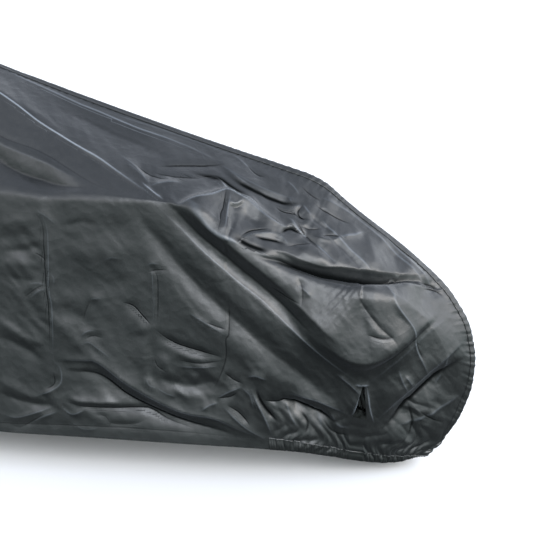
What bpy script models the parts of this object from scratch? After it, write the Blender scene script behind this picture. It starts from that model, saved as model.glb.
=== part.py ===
"""A fitted bicycle cover, hollow and open below, pulled taut from its top ridge to one wheel end.

Two mirrored side panels meet in a centre seam. A flat hem runs along each panel, and an elastic
casing draws the hem in at both wheel ends. Each panel has a slot for a lock, in a patch of its own.

The part's own frame is in metres. +X runs to the taut wheel end, -Y is the near side and +Z is up.
The origin is just under the top of the centre seam, where the cover is held up.
"""
from collections import namedtuple

import bpy
import numpy as np

# Cloth and trims
CLOTH = 0.0020            # thickness of a panel
GAP = 0.0003              # between pieces that touch
HEM_DEPTH = 0.025         # height of the hem and of the elastic casing
CASING_THICKNESS = 0.008
CASING_DROP = 0.0009      # clearance below the panels' edges
RUFFLE = 0.0035           # how far the casing's gathers stand in and out
RUFFLE_PITCH = 0.030
GATHER_STEP = 0.16        # stations between two rings of the casing
CASING_INSET = 0.02       # stations between the flat hem and the casing
SEAM_LAP = 0.014          # how far the seam strip reaches down each side
SEAM_STRIP = 0.0016       # thickness of the seam strip
SEAM_CLEARANCE = 0.0009   # between the strip and the panels' uneven faces
SEAM_SLOPE_LEVELS = 0.30  # the strip's slope is read over this part of a level

# Stations run along the cover, and levels run up it: 0 hem, 1 belly, 2 shoulder, 3 crown, 4 seam
FIRST_STATION = 0.0
LAST_STATION = 20.0
HEM_LEVEL = 0
HEM_TOP_LEVEL = 0.11
CROWN_LEVEL = 3
SEAM_LEVEL = 4
STATION_ROUNDING = 0.45
LEVEL_ROUNDING = 0.12
NORMAL_STEP = 0.02

# Folds fade out towards the seam, the hem and both ends
SEAM_FADE_LEVELS = 0.6
HEM_FADE_LEVELS = 0.4
HEM_FOLD_SHARE = 0.25     # what is left of a fold at the hem
END_FADE_STATIONS = 2.0
FOLD_TAPER = 0.2          # share of a fold's length that each of its ends takes
FOLD_END_SHARE = 0.25     # what is left of a fold's height at its ends
FOLD_STEPS = 16

# The elastic casing holds the hem outside these stations
FLAT_HEM_START = 4.6
FLAT_HEM_END = 11.3

# The casing's section from its lower edge up: how thick it is there and how much it ripples
SectionRow = namedtuple("SectionRow", "bulge wave")
CASING_SECTION = (SectionRow(0.6, 1.0), SectionRow(1.0, 0.4), SectionRow(0.6, 0.7))

# The lock slot: a narrow inverted V below the point that the lock pulls out
SLOT_STATION = 14.0
SLOT_TOP = 1.00           # level of the slot's top end
SLOT_BOTTOM = 0.58        # level of its lower end
SLOT_TOP_HALF = 0.05      # half widths, in stations
SLOT_BOTTOM_HALF = 0.30
PATCH_HALF = 0.85
PATCH_TOP = 1.16
PATCH_BOTTOM = 0.34
PATCH_INSET = 0.0012      # clearance between the patch's rim and its hole
PATCH_SHARES = 3          # cells across the patch, on each side of the slot
SLOT_LIP = 0.008          # how far the slot's edges stand out
SLOT_LIP_STATIONS = 0.30  # how fast the lip fades beside the slot
SLOT_LIP_LEVELS = 0.45    # how fast it fades above and below the slot's middle

# The eye point from which the fold lines below are laid out on the centre plane
EYE = np.array((1.635, -2.775, 0.236))

Mark = namedtuple("Mark", "station x y z")
Fold = namedtuple("Fold", "name x0 z0 xm zm x1 z1 above below height")
Span = namedtuple("Span", "start end count")
Panel = namedtuple("Panel", "stations levels points turned far")

SEAM_LINE = (
    Mark(0, -0.540, 0.0, -1.015),
    Mark(2, -0.595, 0.0, -0.880),
    Mark(3, -0.598, 0.0, -0.740),
    Mark(4, -0.530, 0.0, -0.560),
    Mark(5, -0.330, 0.0, -0.300),
    Mark(6, -0.115, 0.0, -0.042),
    Mark(7, -0.008, 0.0, 0.021),
    Mark(8, 0.168, 0.0, -0.045),
    Mark(9, 0.463, 0.0, -0.139),
    Mark(10, 0.740, 0.0, -0.224),
    Mark(12, 1.066, 0.0, -0.316),
    Mark(13, 1.148, 0.0, -0.386),
    Mark(14, 1.292, 0.0, -0.488),
    Mark(15, 1.405, 0.0, -0.585),
    Mark(16, 1.467, 0.0, -0.680),
    Mark(17, 1.488, 0.0, -0.775),
    Mark(18, 1.482, 0.0, -0.865),
    Mark(19, 1.454, 0.0, -0.950),
    Mark(20, 1.412, 0.0, -1.020),
)
CROWN_LINE = (
    Mark(0, -0.524, -0.010, -1.027),
    Mark(2, -0.570, -0.045, -0.885),
    Mark(3, -0.568, -0.055, -0.740),
    Mark(4, -0.490, -0.070, -0.570),
    Mark(5, -0.300, -0.090, -0.325),
    Mark(6, -0.095, -0.075, -0.080),
    Mark(7, 0.005, -0.045, -0.012),
    Mark(8, 0.227, -0.120, -0.103),
    Mark(9, 0.522, -0.170, -0.257),
    Mark(10, 0.752, -0.212, -0.336),
    Mark(11, 0.897, -0.140, -0.354),
    Mark(12, 1.065, -0.100, -0.405),
    Mark(13, 1.165, -0.085, -0.465),
    Mark(14, 1.285, -0.075, -0.545),
    Mark(15, 1.378, -0.060, -0.622),
    Mark(16, 1.432, -0.045, -0.702),
    Mark(17, 1.453, -0.036, -0.782),
    Mark(18, 1.450, -0.032, -0.860),
    Mark(19, 1.425, -0.026, -0.948),
    Mark(20, 1.397, -0.010, -1.032),
)
SHOULDER_LINE = (
    Mark(0, -0.509, -0.015, -1.040),
    Mark(2, -0.530, -0.085, -0.890),
    Mark(4, -0.420, -0.130, -0.590),
    Mark(5, -0.240, -0.185, -0.420),
    Mark(6, -0.060, -0.230, -0.330),
    Mark(7, 0.090, -0.265, -0.325),
    Mark(8, 0.298, -0.290, -0.333),
    Mark(9, 0.560, -0.268, -0.340),
    Mark(10, 0.776, -0.238, -0.351),
    Mark(11, 0.907, -0.225, -0.445),
    Mark(12, 1.075, -0.202, -0.520),
    Mark(13, 1.177, -0.185, -0.567),
    Mark(14, 1.270, -0.150, -0.588),
    Mark(15, 1.345, -0.110, -0.632),
    Mark(16, 1.393, -0.085, -0.695),
    Mark(17, 1.418, -0.065, -0.765),
    Mark(18, 1.420, -0.055, -0.845),
    Mark(19, 1.402, -0.045, -0.940),
    Mark(20, 1.382, -0.015, -1.042),
)
BELLY_LINE = (
    Mark(0, -0.492, -0.019, -1.053),
    Mark(2, -0.450, -0.120, -0.920),
    Mark(4, -0.320, -0.200, -0.720),
    Mark(6, -0.060, -0.265, -0.640),
    Mark(8, 0.262, -0.295, -0.670),
    Mark(9, 0.520, -0.275, -0.680),
    Mark(10, 0.790, -0.250, -0.680),
    Mark(11, 0.930, -0.235, -0.705),
    Mark(12, 1.065, -0.210, -0.750),
    Mark(13, 1.150, -0.188, -0.790),
    Mark(14, 1.219, -0.170, -0.818),
    Mark(15, 1.275, -0.150, -0.832),
    Mark(16, 1.315, -0.128, -0.852),
    Mark(17, 1.342, -0.106, -0.882),
    Mark(18, 1.358, -0.086, -0.920),
    Mark(19, 1.366, -0.060, -0.980),
    Mark(20, 1.367, -0.019, -1.054),
)
HEM_LINE = (
    Mark(0, -0.474, -0.022, -1.066),
    Mark(2, -0.380, -0.100, -1.058),
    Mark(4, -0.250, -0.190, -1.018),
    Mark(5, -0.160, -0.235, -1.000),
    Mark(6, -0.050, -0.272, -0.995),
    Mark(8, 0.253, -0.300, -0.993),
    Mark(9, 0.500, -0.281, -0.990),
    Mark(10, 0.805, -0.240, -0.997),
    Mark(11, 0.950, -0.210, -1.004),
    Mark(12, 1.045, -0.182, -1.014),
    Mark(13, 1.125, -0.150, -1.032),
    Mark(14, 1.200, -0.120, -1.052),
    Mark(16, 1.262, -0.088, -1.066),
    Mark(18, 1.308, -0.060, -1.070),
    Mark(20, 1.352, -0.022, -1.066),
)
GUIDE_LINES = (HEM_LINE, BELLY_LINE, SHOULDER_LINE, CROWN_LINE, SEAM_LINE)

# Each fold runs from (x0, z0) by (xm, zm) to (x1, z1), as seen on the centre plane from the eye
# point. It is as high as "height", and it fades over "above" on its upper side and "below" it.
NEAR_FOLDS = (
    Fold("front edge valley", 0.890, -0.520, 1.110, -0.573, 1.365, -0.600, 0.055, 0.024, -0.045),
    Fold("narrow slot ridge", 0.640, -0.420, 0.900, -0.670, 1.175, -0.873, 0.020, 0.020, 0.020),
    Fold("wide slot ridge", 0.590, -0.470, 0.830, -0.730, 1.140, -0.955, 0.028, 0.034, 0.022),
    Fold("trough between", 0.690, -0.520, 0.905, -0.745, 1.120, -0.925, 0.020, 0.020, -0.018),
    Fold("upper trough", 0.760, -0.470, 0.985, -0.665, 1.150, -0.830, 0.026, 0.020, -0.018),
    Fold("taut band ridge", 1.190, -0.860, 1.300, -0.740, 1.410, -0.655, 0.022, 0.030, 0.016),
    Fold("taut band recess", 1.215, -1.035, 1.335, -0.905, 1.440, -0.805, 0.016, 0.075, -0.058),
    Fold("slot recess", 0.960, -0.975, 1.060, -0.985, 1.150, -1.030, 0.018, 0.055, -0.034),
    Fold("long overhang", 0.370, -0.840, 0.560, -0.985, 0.900, -1.070, 0.030, 0.026, 0.018),
    Fold("overhang recess", 0.330, -0.880, 0.540, -1.025, 0.860, -1.095, 0.018, 0.040, -0.022),
    Fold("shoulder hollow", 0.080, -0.300, 0.230, -0.345, 0.400, -0.382, 0.030, 0.028, -0.020),
    Fold("seam wedge", 0.800, -0.305, 0.900, -0.360, 1.010, -0.400, 0.022, 0.018, -0.020),
    Fold("peak hollow", 0.240, -0.165, 0.480, -0.255, 0.680, -0.310, 0.040, 0.040, -0.016),
    Fold("wall diagonal", 0.100, -0.520, 0.330, -0.640, 0.640, -0.860, 0.060, 0.060, 0.016),
    Fold("wall hollow", 0.130, -0.800, 0.230, -0.860, 0.330, -0.960, 0.060, 0.050, -0.018),
    Fold("slot panel", 1.010, -0.680, 1.090, -0.730, 1.170, -0.790, 0.050, 0.050, 0.016),
)
FAR_FOLDS = (
    Fold("slot ridge", 0.800, -0.430, 1.000, -0.630, 1.200, -0.800, 0.022, 0.026, 0.014),
    Fold("second slot ridge", 0.740, -0.540, 0.960, -0.760, 1.170, -0.890, 0.026, 0.030, 0.014),
    Fold("trough between", 0.760, -0.480, 0.980, -0.690, 1.185, -0.845, 0.020, 0.020, -0.010),
    Fold("shoulder valley", 0.960, -0.440, 1.140, -0.520, 1.360, -0.590, 0.045, 0.030, -0.026),
    Fold("band recess", 1.240, -0.960, 1.340, -0.860, 1.440, -0.790, 0.022, 0.060, -0.030),
    Fold("long overhang", 0.250, -0.640, 0.560, -0.840, 0.900, -0.960, 0.045, 0.045, 0.014),
    Fold("wall hollow", -0.050, -0.700, 0.150, -0.800, 0.350, -0.900, 0.060, 0.060, -0.014),
)
COLUMNS = (Span(0, 8, 13), Span(8, 10, 10), Span(10, 15, 34), Span(15, 20, 14))
NEAR_ROWS = (Span(0, 1, 10), Span(1, 2, 17), Span(2, 3, 5), Span(3, 4, 3))
FAR_ROWS = (Span(0, 1, 5), Span(1, 2, 5), Span(2, 3, 3), Span(3, 4, 2))


def spread(spans):
    """Numbers from the first span's start to the last span's end, evenly spaced in each span."""
    steps = [np.linspace(s.start, s.end, s.count, endpoint=False) for s in spans]
    return np.append(np.concatenate(steps), spans[-1].end)


def window(values, width, low, high):
    """Sample places around each value, which round a polyline and close up at its two ends."""
    reach = np.minimum(width, np.minimum(values - low, high - values))
    return [values + reach * share for share in (-1.0, -0.5, 0.0, 0.5, 1.0)]


def guide_points(line, stations):
    """Points of a guide line at the given stations, its corners slightly rounded."""
    marks = np.array(line)
    places = window(stations, STATION_ROUNDING, FIRST_STATION, LAST_STATION)
    columns = (marks[:, 1], marks[:, 2], marks[:, 3])
    axes = [np.mean([np.interp(p, marks[:, 0], c) for p in places], axis=0) for c in columns]
    return np.stack(axes, axis=-1)


def smooth_form(stations, levels):
    """The near panel's middle surface without its folds."""
    guides = np.stack([guide_points(line, stations) for line in GUIDE_LINES])
    total = np.zeros(stations.shape + (3,))
    places = window(levels, LEVEL_ROUNDING, HEM_LEVEL, SEAM_LEVEL)
    for place in places:
        lower = np.clip(np.floor(place).astype(int), HEM_LEVEL, SEAM_LEVEL - 1)
        share = (place - lower)[..., None]
        below = np.take_along_axis(guides, lower[None, ..., None], axis=0)[0]
        above = np.take_along_axis(guides, lower[None, ..., None] + 1, axis=0)[0]
        total += below * (1 - share) + above * share
    return total / len(places)


def form_normals(stations, levels):
    """Unit normals of the smooth form, pointing out of the cover."""
    along = smooth_form(np.minimum(stations + NORMAL_STEP, LAST_STATION), levels)
    along -= smooth_form(np.maximum(stations - NORMAL_STEP, FIRST_STATION), levels)
    up = smooth_form(stations, np.minimum(levels + NORMAL_STEP, SEAM_LEVEL))
    up -= smooth_form(stations, np.maximum(levels - NORMAL_STEP, HEM_LEVEL))
    normals = np.cross(along, up)
    return normals / np.linalg.norm(normals, axis=-1, keepdims=True)


def seen_on_centre_plane(points):
    """Where the sight lines from the eye point to the points cross the centre plane."""
    share = EYE[1] / (EYE[1] - points[..., 1])
    return np.stack([EYE[k] + (points[..., k] - EYE[k]) * share for k in (0, 2)], axis=-1)


def fold_relief(fold, places):
    """Height of one fold at places on the centre plane, fading out at its two ends."""
    t = np.linspace(0.0, 1.0, FOLD_STEPS + 1)[:, None]
    start = np.array((fold.x0, fold.z0))
    middle = np.array((fold.xm, fold.zm))
    end = np.array((fold.x1, fold.z1))
    control = 2 * middle - 0.5 * (start + end)
    path = (1 - t) ** 2 * start + 2 * t * (1 - t) * control + t ** 2 * end
    run = path[1:] - path[:-1]
    offset = places[..., None, :] - path[:-1]
    share = np.clip((offset * run).sum(-1) / (run ** 2).sum(-1), 0.0, 1.0)
    away = offset - share[..., None] * run
    distance = np.linalg.norm(away, axis=-1)
    nearest = distance.argmin(-1)[..., None]
    distance = np.take_along_axis(distance, nearest, -1)[..., 0]
    upper = np.take_along_axis(away[..., 1], nearest, -1)[..., 0] > 0
    along = (nearest[..., 0] + np.take_along_axis(share, nearest, -1)[..., 0]) / len(run)
    taper = np.clip(np.minimum(along, 1 - along) / FOLD_TAPER, 0.0, 1.0)
    taper = FOLD_END_SHARE + (1 - FOLD_END_SHARE) * taper * taper * (3 - 2 * taper)
    width = np.where(upper, fold.above, fold.below)
    return fold.height * taper * np.exp(-(distance / width) ** 2)


def slot_half_width(levels):
    """Half the slot's width in stations, which grows from its top to its lower end."""
    down = np.clip((SLOT_TOP - levels) / (SLOT_TOP - SLOT_BOTTOM), 0.0, 1.0)
    return SLOT_TOP_HALF + (SLOT_BOTTOM_HALF - SLOT_TOP_HALF) * down


def slot_lip(stations, levels):
    """How far the slot's two edges are pulled outwards."""
    from_middle = np.abs(levels - 0.5 * (SLOT_TOP + SLOT_BOTTOM))
    inside = np.clip(1 - from_middle / SLOT_LIP_LEVELS, 0.0, 1.0)
    beside = np.maximum(np.abs(stations - SLOT_STATION) - slot_half_width(levels), 0.0)
    return SLOT_LIP * inside * np.exp(-(beside / SLOT_LIP_STATIONS) ** 2)


def side_surface(stations, levels, folds, far):
    """Middle surface of a side panel with its folds, mirrored for the far side."""
    points = smooth_form(stations, levels)
    # the far side's folds are laid out on its own side view
    places = points[..., (0, 2)] if far else seen_on_centre_plane(points)
    relief = sum(fold_relief(fold, places) for fold in folds)
    relief = relief * np.clip((SEAM_LEVEL - levels) / SEAM_FADE_LEVELS, 0.0, 1.0)
    relief = relief * np.clip(HEM_FOLD_SHARE + levels / HEM_FADE_LEVELS, 0.0, 1.0)
    relief = relief * np.clip((LAST_STATION - stations) / END_FADE_STATIONS, 0.0, 1.0)
    relief = relief * np.clip((stations - FIRST_STATION) / END_FADE_STATIONS, 0.0, 1.0)
    relief = relief + slot_lip(stations, levels)
    points = points + form_normals(stations, levels) * relief[..., None]
    if far:
        points[..., 1] *= -1
    return points


def grid_normals(points, far):
    """Unit normals of a grid of points, pointing out of the cover."""
    normals = np.cross(np.gradient(points, axis=0), np.gradient(points, axis=1))
    normals /= np.linalg.norm(normals, axis=-1, keepdims=True)
    return -normals if far else normals


def add_solid(name, vertices, faces, material):
    """Make a closed mesh object of its own."""
    mesh = bpy.data.meshes.new(name)
    mesh.from_pydata([tuple(v) for v in vertices], [], faces)
    mesh.materials.append(material)
    mesh.update()
    part = bpy.data.objects.new(name, mesh)
    bpy.context.scene.collection.objects.link(part)
    return part


def add_sheet(name, outer, inner, cells, turned, far, material):
    """Close an outer and an inner grid of points into one sheet, over the cells that it keeps.

    A cell is split from its first corner to its third, or the other way where it is turned.
    """
    columns, rows = outer.shape[:2]

    def corner(c, r, layer):
        return layer * columns * rows + c * rows + r

    faces = []
    for c, r in zip(*np.nonzero(cells)):
        ring = ((c, r), (c + 1, r), (c + 1, r + 1), (c, r + 1))
        first = 1 if turned[c, r] else 0
        for second in (1, 2):
            half = (ring[first], ring[(first + second) % 4], ring[(first + second + 1) % 4])
            faces.append([corner(*p, 0) for p in half])
            faces.append([corner(*p, 1) for p in reversed(half)])
        beyond = ((c, r - 1), (c + 1, r), (c, r + 1), (c - 1, r))
        for k, (bc, br) in enumerate(beyond):
            if 0 <= bc < columns - 1 and 0 <= br < rows - 1 and cells[bc, br]:
                continue
            a, b = ring[k], ring[(k + 1) % 4]
            faces.append([corner(*b, 0), corner(*a, 0), corner(*a, 1), corner(*b, 1)])
    if far:
        faces = [face[::-1] for face in faces]
    points = np.concatenate([outer.reshape(-1, 3), inner.reshape(-1, 3)])
    used = sorted({i for face in faces for i in face})
    place = {old: new for new, old in enumerate(used)}
    return add_solid(name, points[used], [[place[i] for i in face] for face in faces], material)


def add_tube(name, rings, material):
    """Close a row of rings of points into one solid with two end caps."""
    count = len(rings[0])
    last = (len(rings) - 1) * count
    faces = [list(reversed(range(count))), [last + k for k in range(count)]]
    for r in range(len(rings) - 1):
        for k in range(count):
            low, high = r * count, (r + 1) * count
            nxt = (k + 1) % count
            faces.append([low + k, low + nxt, high + nxt, high + k])
    return add_solid(name, np.concatenate(rings), faces, material)


def cloth_layers(points, far):
    """Outer and inner faces of a sheet whose middle surface is given, kept on its own side."""
    normals = grid_normals(points, far)
    layers = [points + normals * CLOTH / 2, points - normals * CLOTH / 2]
    for layer in layers:
        side = 1 if far else -1
        layer[..., 1] = side * np.maximum(side * layer[..., 1], GAP / 2)
    return layers


def snapped(values, edges):
    """The values, with the one nearest to each edge moved onto it."""
    values = values.copy()
    for edge in edges:
        values[np.abs(values - edge).argmin()] = edge
    return values


def middle_values(values):
    """The values half way between neighbours."""
    return 0.5 * (values[:-1] + values[1:])


def with_neighbours(values):
    """The sum of each value and the eight around it."""
    padded = np.pad(values, 1, mode="edge")
    rows, columns = values.shape
    return sum(padded[r:r + rows, c:c + columns] for r in range(3) for c in range(3))


def panel_grid(columns, rows, folds, far):
    """Stations, levels and middle surface of a panel, with grid lines on its hem, patch and casings.

    Each cell is split along the diagonal that lies closer to the surface, there and around it. Near the
    seam strip all cells of a side are split the same way.
    """
    patch_ends = (SLOT_STATION - PATCH_HALF, SLOT_STATION + PATCH_HALF)
    stations = snapped(spread(columns), (FLAT_HEM_START, FLAT_HEM_END) + patch_ends)
    levels = snapped(spread(rows), (PATCH_BOTTOM, PATCH_TOP))
    levels[1] = HEM_TOP_LEVEL
    points = side_surface(*np.meshgrid(stations, levels, indexing="ij"), folds, far)
    middles = np.meshgrid(middle_values(stations), middle_values(levels), indexing="ij")
    surface = side_surface(*middles, folds, far)
    straight = np.linalg.norm(0.5 * (points[:-1, :-1] + points[1:, 1:]) - surface, axis=-1)
    crossing = np.linalg.norm(0.5 * (points[1:, :-1] + points[:-1, 1:]) - surface, axis=-1)
    turned = with_neighbours(straight - crossing) > 0
    turned[:, middle_values(levels) > CROWN_LEVEL] = far
    return Panel(stations, levels, points, turned, far)


def make_panel(name, panel, material):
    """A side panel with its flat hem, open for the patch and cut back along the elastic casing."""
    station = middle_values(panel.stations)[:, None]
    level = middle_values(panel.levels)[None, :]
    in_patch = (level > PATCH_BOTTOM) & (level < PATCH_TOP)
    in_patch = in_patch & (np.abs(station - SLOT_STATION) < PATCH_HALF)
    in_casing = (station < FLAT_HEM_START) | (station > FLAT_HEM_END)
    in_casing = in_casing & (level < HEM_TOP_LEVEL)
    outer, inner = cloth_layers(panel.points, panel.far)
    cells = ~(in_patch | in_casing)
    add_sheet(name, outer, inner, cells, panel.turned, panel.far, material)


def on_panel(panel, stations, levels):
    """Points on the panel's flat cells at the given stations and levels."""
    c = np.clip(np.searchsorted(panel.stations, stations, side="right") - 1, 0, len(panel.stations) - 2)
    r = np.clip(np.searchsorted(panel.levels, levels, side="right") - 1, 0, len(panel.levels) - 2)
    a = ((stations - panel.stations[c]) / (panel.stations[c + 1] - panel.stations[c]))[..., None]
    b = ((levels - panel.levels[r]) / (panel.levels[r + 1] - panel.levels[r]))[..., None]
    g = panel.points
    low = g[c, r] * (1 - a) + g[c + 1, r] * a
    high = g[c, r + 1] * (1 - a) + g[c + 1, r + 1] * a
    return low * (1 - b) + high * b


def make_patch(name, panel, material):
    """The patch that fills the panel's hole and holds the lock slot, an inverted V."""
    levels = np.unique(np.append(np.linspace(SLOT_BOTTOM, SLOT_TOP, 7),
                                 [PATCH_BOTTOM, 0.5 * (PATCH_BOTTOM + SLOT_BOTTOM), PATCH_TOP]))
    half = slot_half_width(levels)
    share = np.linspace(-1.0, 0.0, PATCH_SHARES + 1)
    left = SLOT_STATION - half[None, :] + share[:, None] * (PATCH_HALF - half)[None, :]
    stations = np.concatenate([left, 2 * SLOT_STATION - left[::-1]])
    points = on_panel(panel, stations, np.broadcast_to(levels, stations.shape))
    # the rim is drawn in, so that the patch lies free in its hole
    for rim, inside in ((0, 1), (-1, -2)):
        for grid in (points, points.swapaxes(0, 1)):
            step = grid[inside] - grid[rim]
            grid[rim] += step * PATCH_INSET / np.linalg.norm(step, axis=-1, keepdims=True)
    cells = np.ones((len(stations) - 1, len(levels) - 1), dtype=bool)
    in_slot = (levels[:-1] >= SLOT_BOTTOM - 1e-6) & (levels[1:] <= SLOT_TOP + 1e-6)
    cells[PATCH_SHARES, in_slot] = False
    outer, inner = cloth_layers(points, panel.far)
    add_sheet(name, outer, inner, cells, np.zeros_like(cells), panel.far, material)


def make_casing(name, near, far, outer_station, end_station, material):
    """The elastic casing at one end: a gathered tube under both panels' edges."""
    way = 1 if end_station > outer_station else -1
    stations = np.arange(outer_station + way * CASING_INSET, end_station + way * GATHER_STEP / 2,
                         way * GATHER_STEP)
    tops, bottoms = [], []
    for panel in (near, far):
        top = on_panel(panel, stations, np.full(stations.shape, HEM_TOP_LEVEL))
        bottom = on_panel(panel, stations, np.zeros(stations.shape))
        down = (bottom - top) / np.linalg.norm(bottom - top, axis=-1, keepdims=True)
        flip = slice(None) if panel is near else slice(None, None, -1)
        tops.append((top + down * CASING_DROP)[flip])
        bottoms.append((top + down * HEM_DEPTH)[flip])
    # a half turn in front of the wheel joins the near run to the far run
    turn = np.linspace(0, np.pi, 7)[1:-1]
    ends = []
    for runs in (tops, bottoms):
        first, last = runs[0][-1], runs[1][0]
        radius = 0.5 * (last[1] - first[1])
        arc = np.stack([first[0] + way * radius * np.sin(turn), -radius * np.cos(turn),
                        np.full(turn.shape, first[2])], axis=-1)
        ends.append(np.concatenate([runs[0], arc, runs[1]]))
    top, bottom = ends
    middle = 0.5 * (top + bottom)
    steps = np.linalg.norm(np.diff(middle, axis=0), axis=-1)
    length = np.append(0.0, np.cumsum(steps))
    out = np.cross(np.gradient(middle, axis=0), top - bottom) * way
    out /= np.linalg.norm(out, axis=-1, keepdims=True)
    wave = RUFFLE * np.sin(2 * np.pi * length / RUFFLE_PITCH)[:, None]
    half = CASING_THICKNESS / 2
    edges = [(place, half * row.bulge, wave * row.wave)
             for place, row in zip((bottom, middle, top), CASING_SECTION)]
    outer = [place + out * (depth + ripple) for place, depth, ripple in edges]
    inner = [place + out * (ripple - depth) for place, depth, ripple in edges]
    rings = np.stack(outer + inner[::-1], axis=1)
    if way > 0:
        rings = rings[:, ::-1]
    add_tube(name, list(rings), material)


def make_seam(name, near, far, material):
    """The strip that covers the centre seam and laps a little down both panels."""
    stations = near.stations[1:-1]
    seam_level = np.full(stations.shape, float(SEAM_LEVEL))
    rows = []
    for panel in (near, far):
        edge = on_panel(panel, stations, seam_level)
        inside = on_panel(panel, stations, seam_level - SEAM_SLOPE_LEVELS)
        slope = (inside - edge) / np.linalg.norm(inside - edge, axis=-1, keepdims=True)
        along = np.gradient(edge, axis=0)
        normal = np.cross(slope, along) if panel is near else np.cross(along, slope)
        normal /= np.linalg.norm(normal, axis=-1, keepdims=True)
        rows.append((edge, edge + slope * SEAM_LAP, normal))
    (edge, near_lap, near_out), (_, far_lap, far_out) = rows
    ridge = edge * (1, 0, 1)
    top_out = near_out + far_out
    top_out /= np.linalg.norm(top_out, axis=-1, keepdims=True)
    mitre = 1 / np.clip((top_out * near_out).sum(-1, keepdims=True), 0.3, 1.0)
    low = CLOTH / 2 + SEAM_CLEARANCE
    high = low + SEAM_STRIP
    inner = [near_lap + near_out * low, ridge + top_out * low * mitre, far_lap + far_out * low]
    outer = [far_lap + far_out * high, ridge + top_out * high * mitre, near_lap + near_out * high]
    rings = np.stack(inner + outer, axis=1)
    add_tube(name, list(rings), material)


def clear_scene():
    for part in list(bpy.data.objects):
        bpy.data.objects.remove(part, do_unlink=True)


def cloth_material(name, colour, roughness):
    """A plain coated cloth."""
    material = bpy.data.materials.new(name)
    material.use_nodes = True
    shader = material.node_tree.nodes["Principled BSDF"]
    shader.inputs["Base Color"].default_value = colour
    shader.inputs["Roughness"].default_value = roughness
    shader.inputs["Metallic"].default_value = 0.0
    return material


def main():
    clear_scene()
    black = cloth_material("black_taffeta", (0.022, 0.025, 0.026, 1.0), 0.42)
    trim = cloth_material("black_hem_taffeta", (0.018, 0.020, 0.021, 1.0), 0.48)
    near = panel_grid(COLUMNS, NEAR_ROWS, NEAR_FOLDS, False)
    far = panel_grid(COLUMNS, FAR_ROWS, FAR_FOLDS, True)
    make_panel("near_panel", near, black)
    make_panel("far_panel", far, black)
    make_patch("near_slot_patch", near, trim)
    make_patch("far_slot_patch", far, trim)
    make_casing("wheel_end_casing", near, far, FLAT_HEM_END, LAST_STATION, trim)
    make_casing("other_end_casing", near, far, FLAT_HEM_START, FIRST_STATION, trim)
    make_seam("centre_seam", near, far, trim)


if __name__ == "__main__":
    main()
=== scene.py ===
"""Looks of a fitted bicycle cover in black coated taffeta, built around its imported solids.

Two side panels meet in a puckered centre seam. A stitched hem runs along the foot of each side, an
elastic casing gathers the cloth at both wheel ends, and a hemmed slot opens in each side. The near
side's folds are laid out as they show from the eye point on the cover's centre plane, and the far
side's straight across from that plane.
"""
from collections import namedtuple

import bpy
import numpy as np
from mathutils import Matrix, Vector


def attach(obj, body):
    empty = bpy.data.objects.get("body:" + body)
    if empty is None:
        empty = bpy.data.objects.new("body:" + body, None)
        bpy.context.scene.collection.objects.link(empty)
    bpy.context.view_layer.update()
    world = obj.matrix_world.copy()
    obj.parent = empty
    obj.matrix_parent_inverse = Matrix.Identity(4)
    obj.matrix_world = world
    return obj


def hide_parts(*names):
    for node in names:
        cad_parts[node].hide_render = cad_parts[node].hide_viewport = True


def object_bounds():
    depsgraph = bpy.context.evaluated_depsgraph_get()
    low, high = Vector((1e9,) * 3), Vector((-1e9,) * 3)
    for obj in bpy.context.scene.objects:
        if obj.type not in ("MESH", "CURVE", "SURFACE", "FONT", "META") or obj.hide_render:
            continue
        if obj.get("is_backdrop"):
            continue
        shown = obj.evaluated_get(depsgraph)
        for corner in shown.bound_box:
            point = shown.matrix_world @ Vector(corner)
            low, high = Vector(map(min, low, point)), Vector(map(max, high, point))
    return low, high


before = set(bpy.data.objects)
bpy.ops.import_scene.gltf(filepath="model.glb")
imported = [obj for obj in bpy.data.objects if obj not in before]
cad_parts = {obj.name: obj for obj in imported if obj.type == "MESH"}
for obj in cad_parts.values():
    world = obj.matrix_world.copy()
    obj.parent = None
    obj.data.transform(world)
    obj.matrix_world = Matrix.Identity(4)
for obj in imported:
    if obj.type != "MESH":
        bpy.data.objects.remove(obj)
CAD_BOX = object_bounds()

bl_info = {
    "name": "Bicycle Cover Looks",
    "version": (1, 0, 0),
    "blender": (4, 5, 0),
    "location": "3D View > Sidebar > Cover",
    "description": "Models the folded cloth, seams and stitches of a fitted bicycle cover",
    "category": "Object",
}

# Stations run along the cover, and levels run up it: 0 hem, 1 belly, 2 shoulder, 3 crown, 4 seam
FIRST_STATION = 0.0
LAST_STATION = 20.0
HEM_LEVEL = 0
HEM_TOP_LEVEL = 0.11
SEAM_LEVEL = 4
STATION_ROUNDING = 0.30   # how far to both sides of a guide line's corner it is rounded
LEVEL_ROUNDING = 0.08     # the same between the guide lines
ROUNDING_SHARES = (-1.0, -0.67, -0.33, 0.0, 0.33, 0.67, 1.0)
NORMAL_STEP = 0.03        # step between the places that a normal of the form is worked out from
EDGE_ROOM = 1e-6          # by how much a station or level on an edge may miss it
FLAT_HEM_START = 4.6
FLAT_HEM_END = 11.3

# The slot in each side, an inverted V
SLOT_STATION = 14.0
SLOT_TOP = 1.00
SLOT_BOTTOM = 0.58
SLOT_TOP_HALF = 0.05
SLOT_BOTTOM_HALF = 0.30
DRAWN_HALF = 0.85         # how far from its middle the grid's columns are drawn to its edges
SLOT_LIP = 0.008          # how far its edges are pulled out
SLOT_LIP_LEVELS = 0.45
SLOT_LIP_STATIONS = 0.30
SLOT_HEM = 0.010          # width of the turned edge beside the slot

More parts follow.
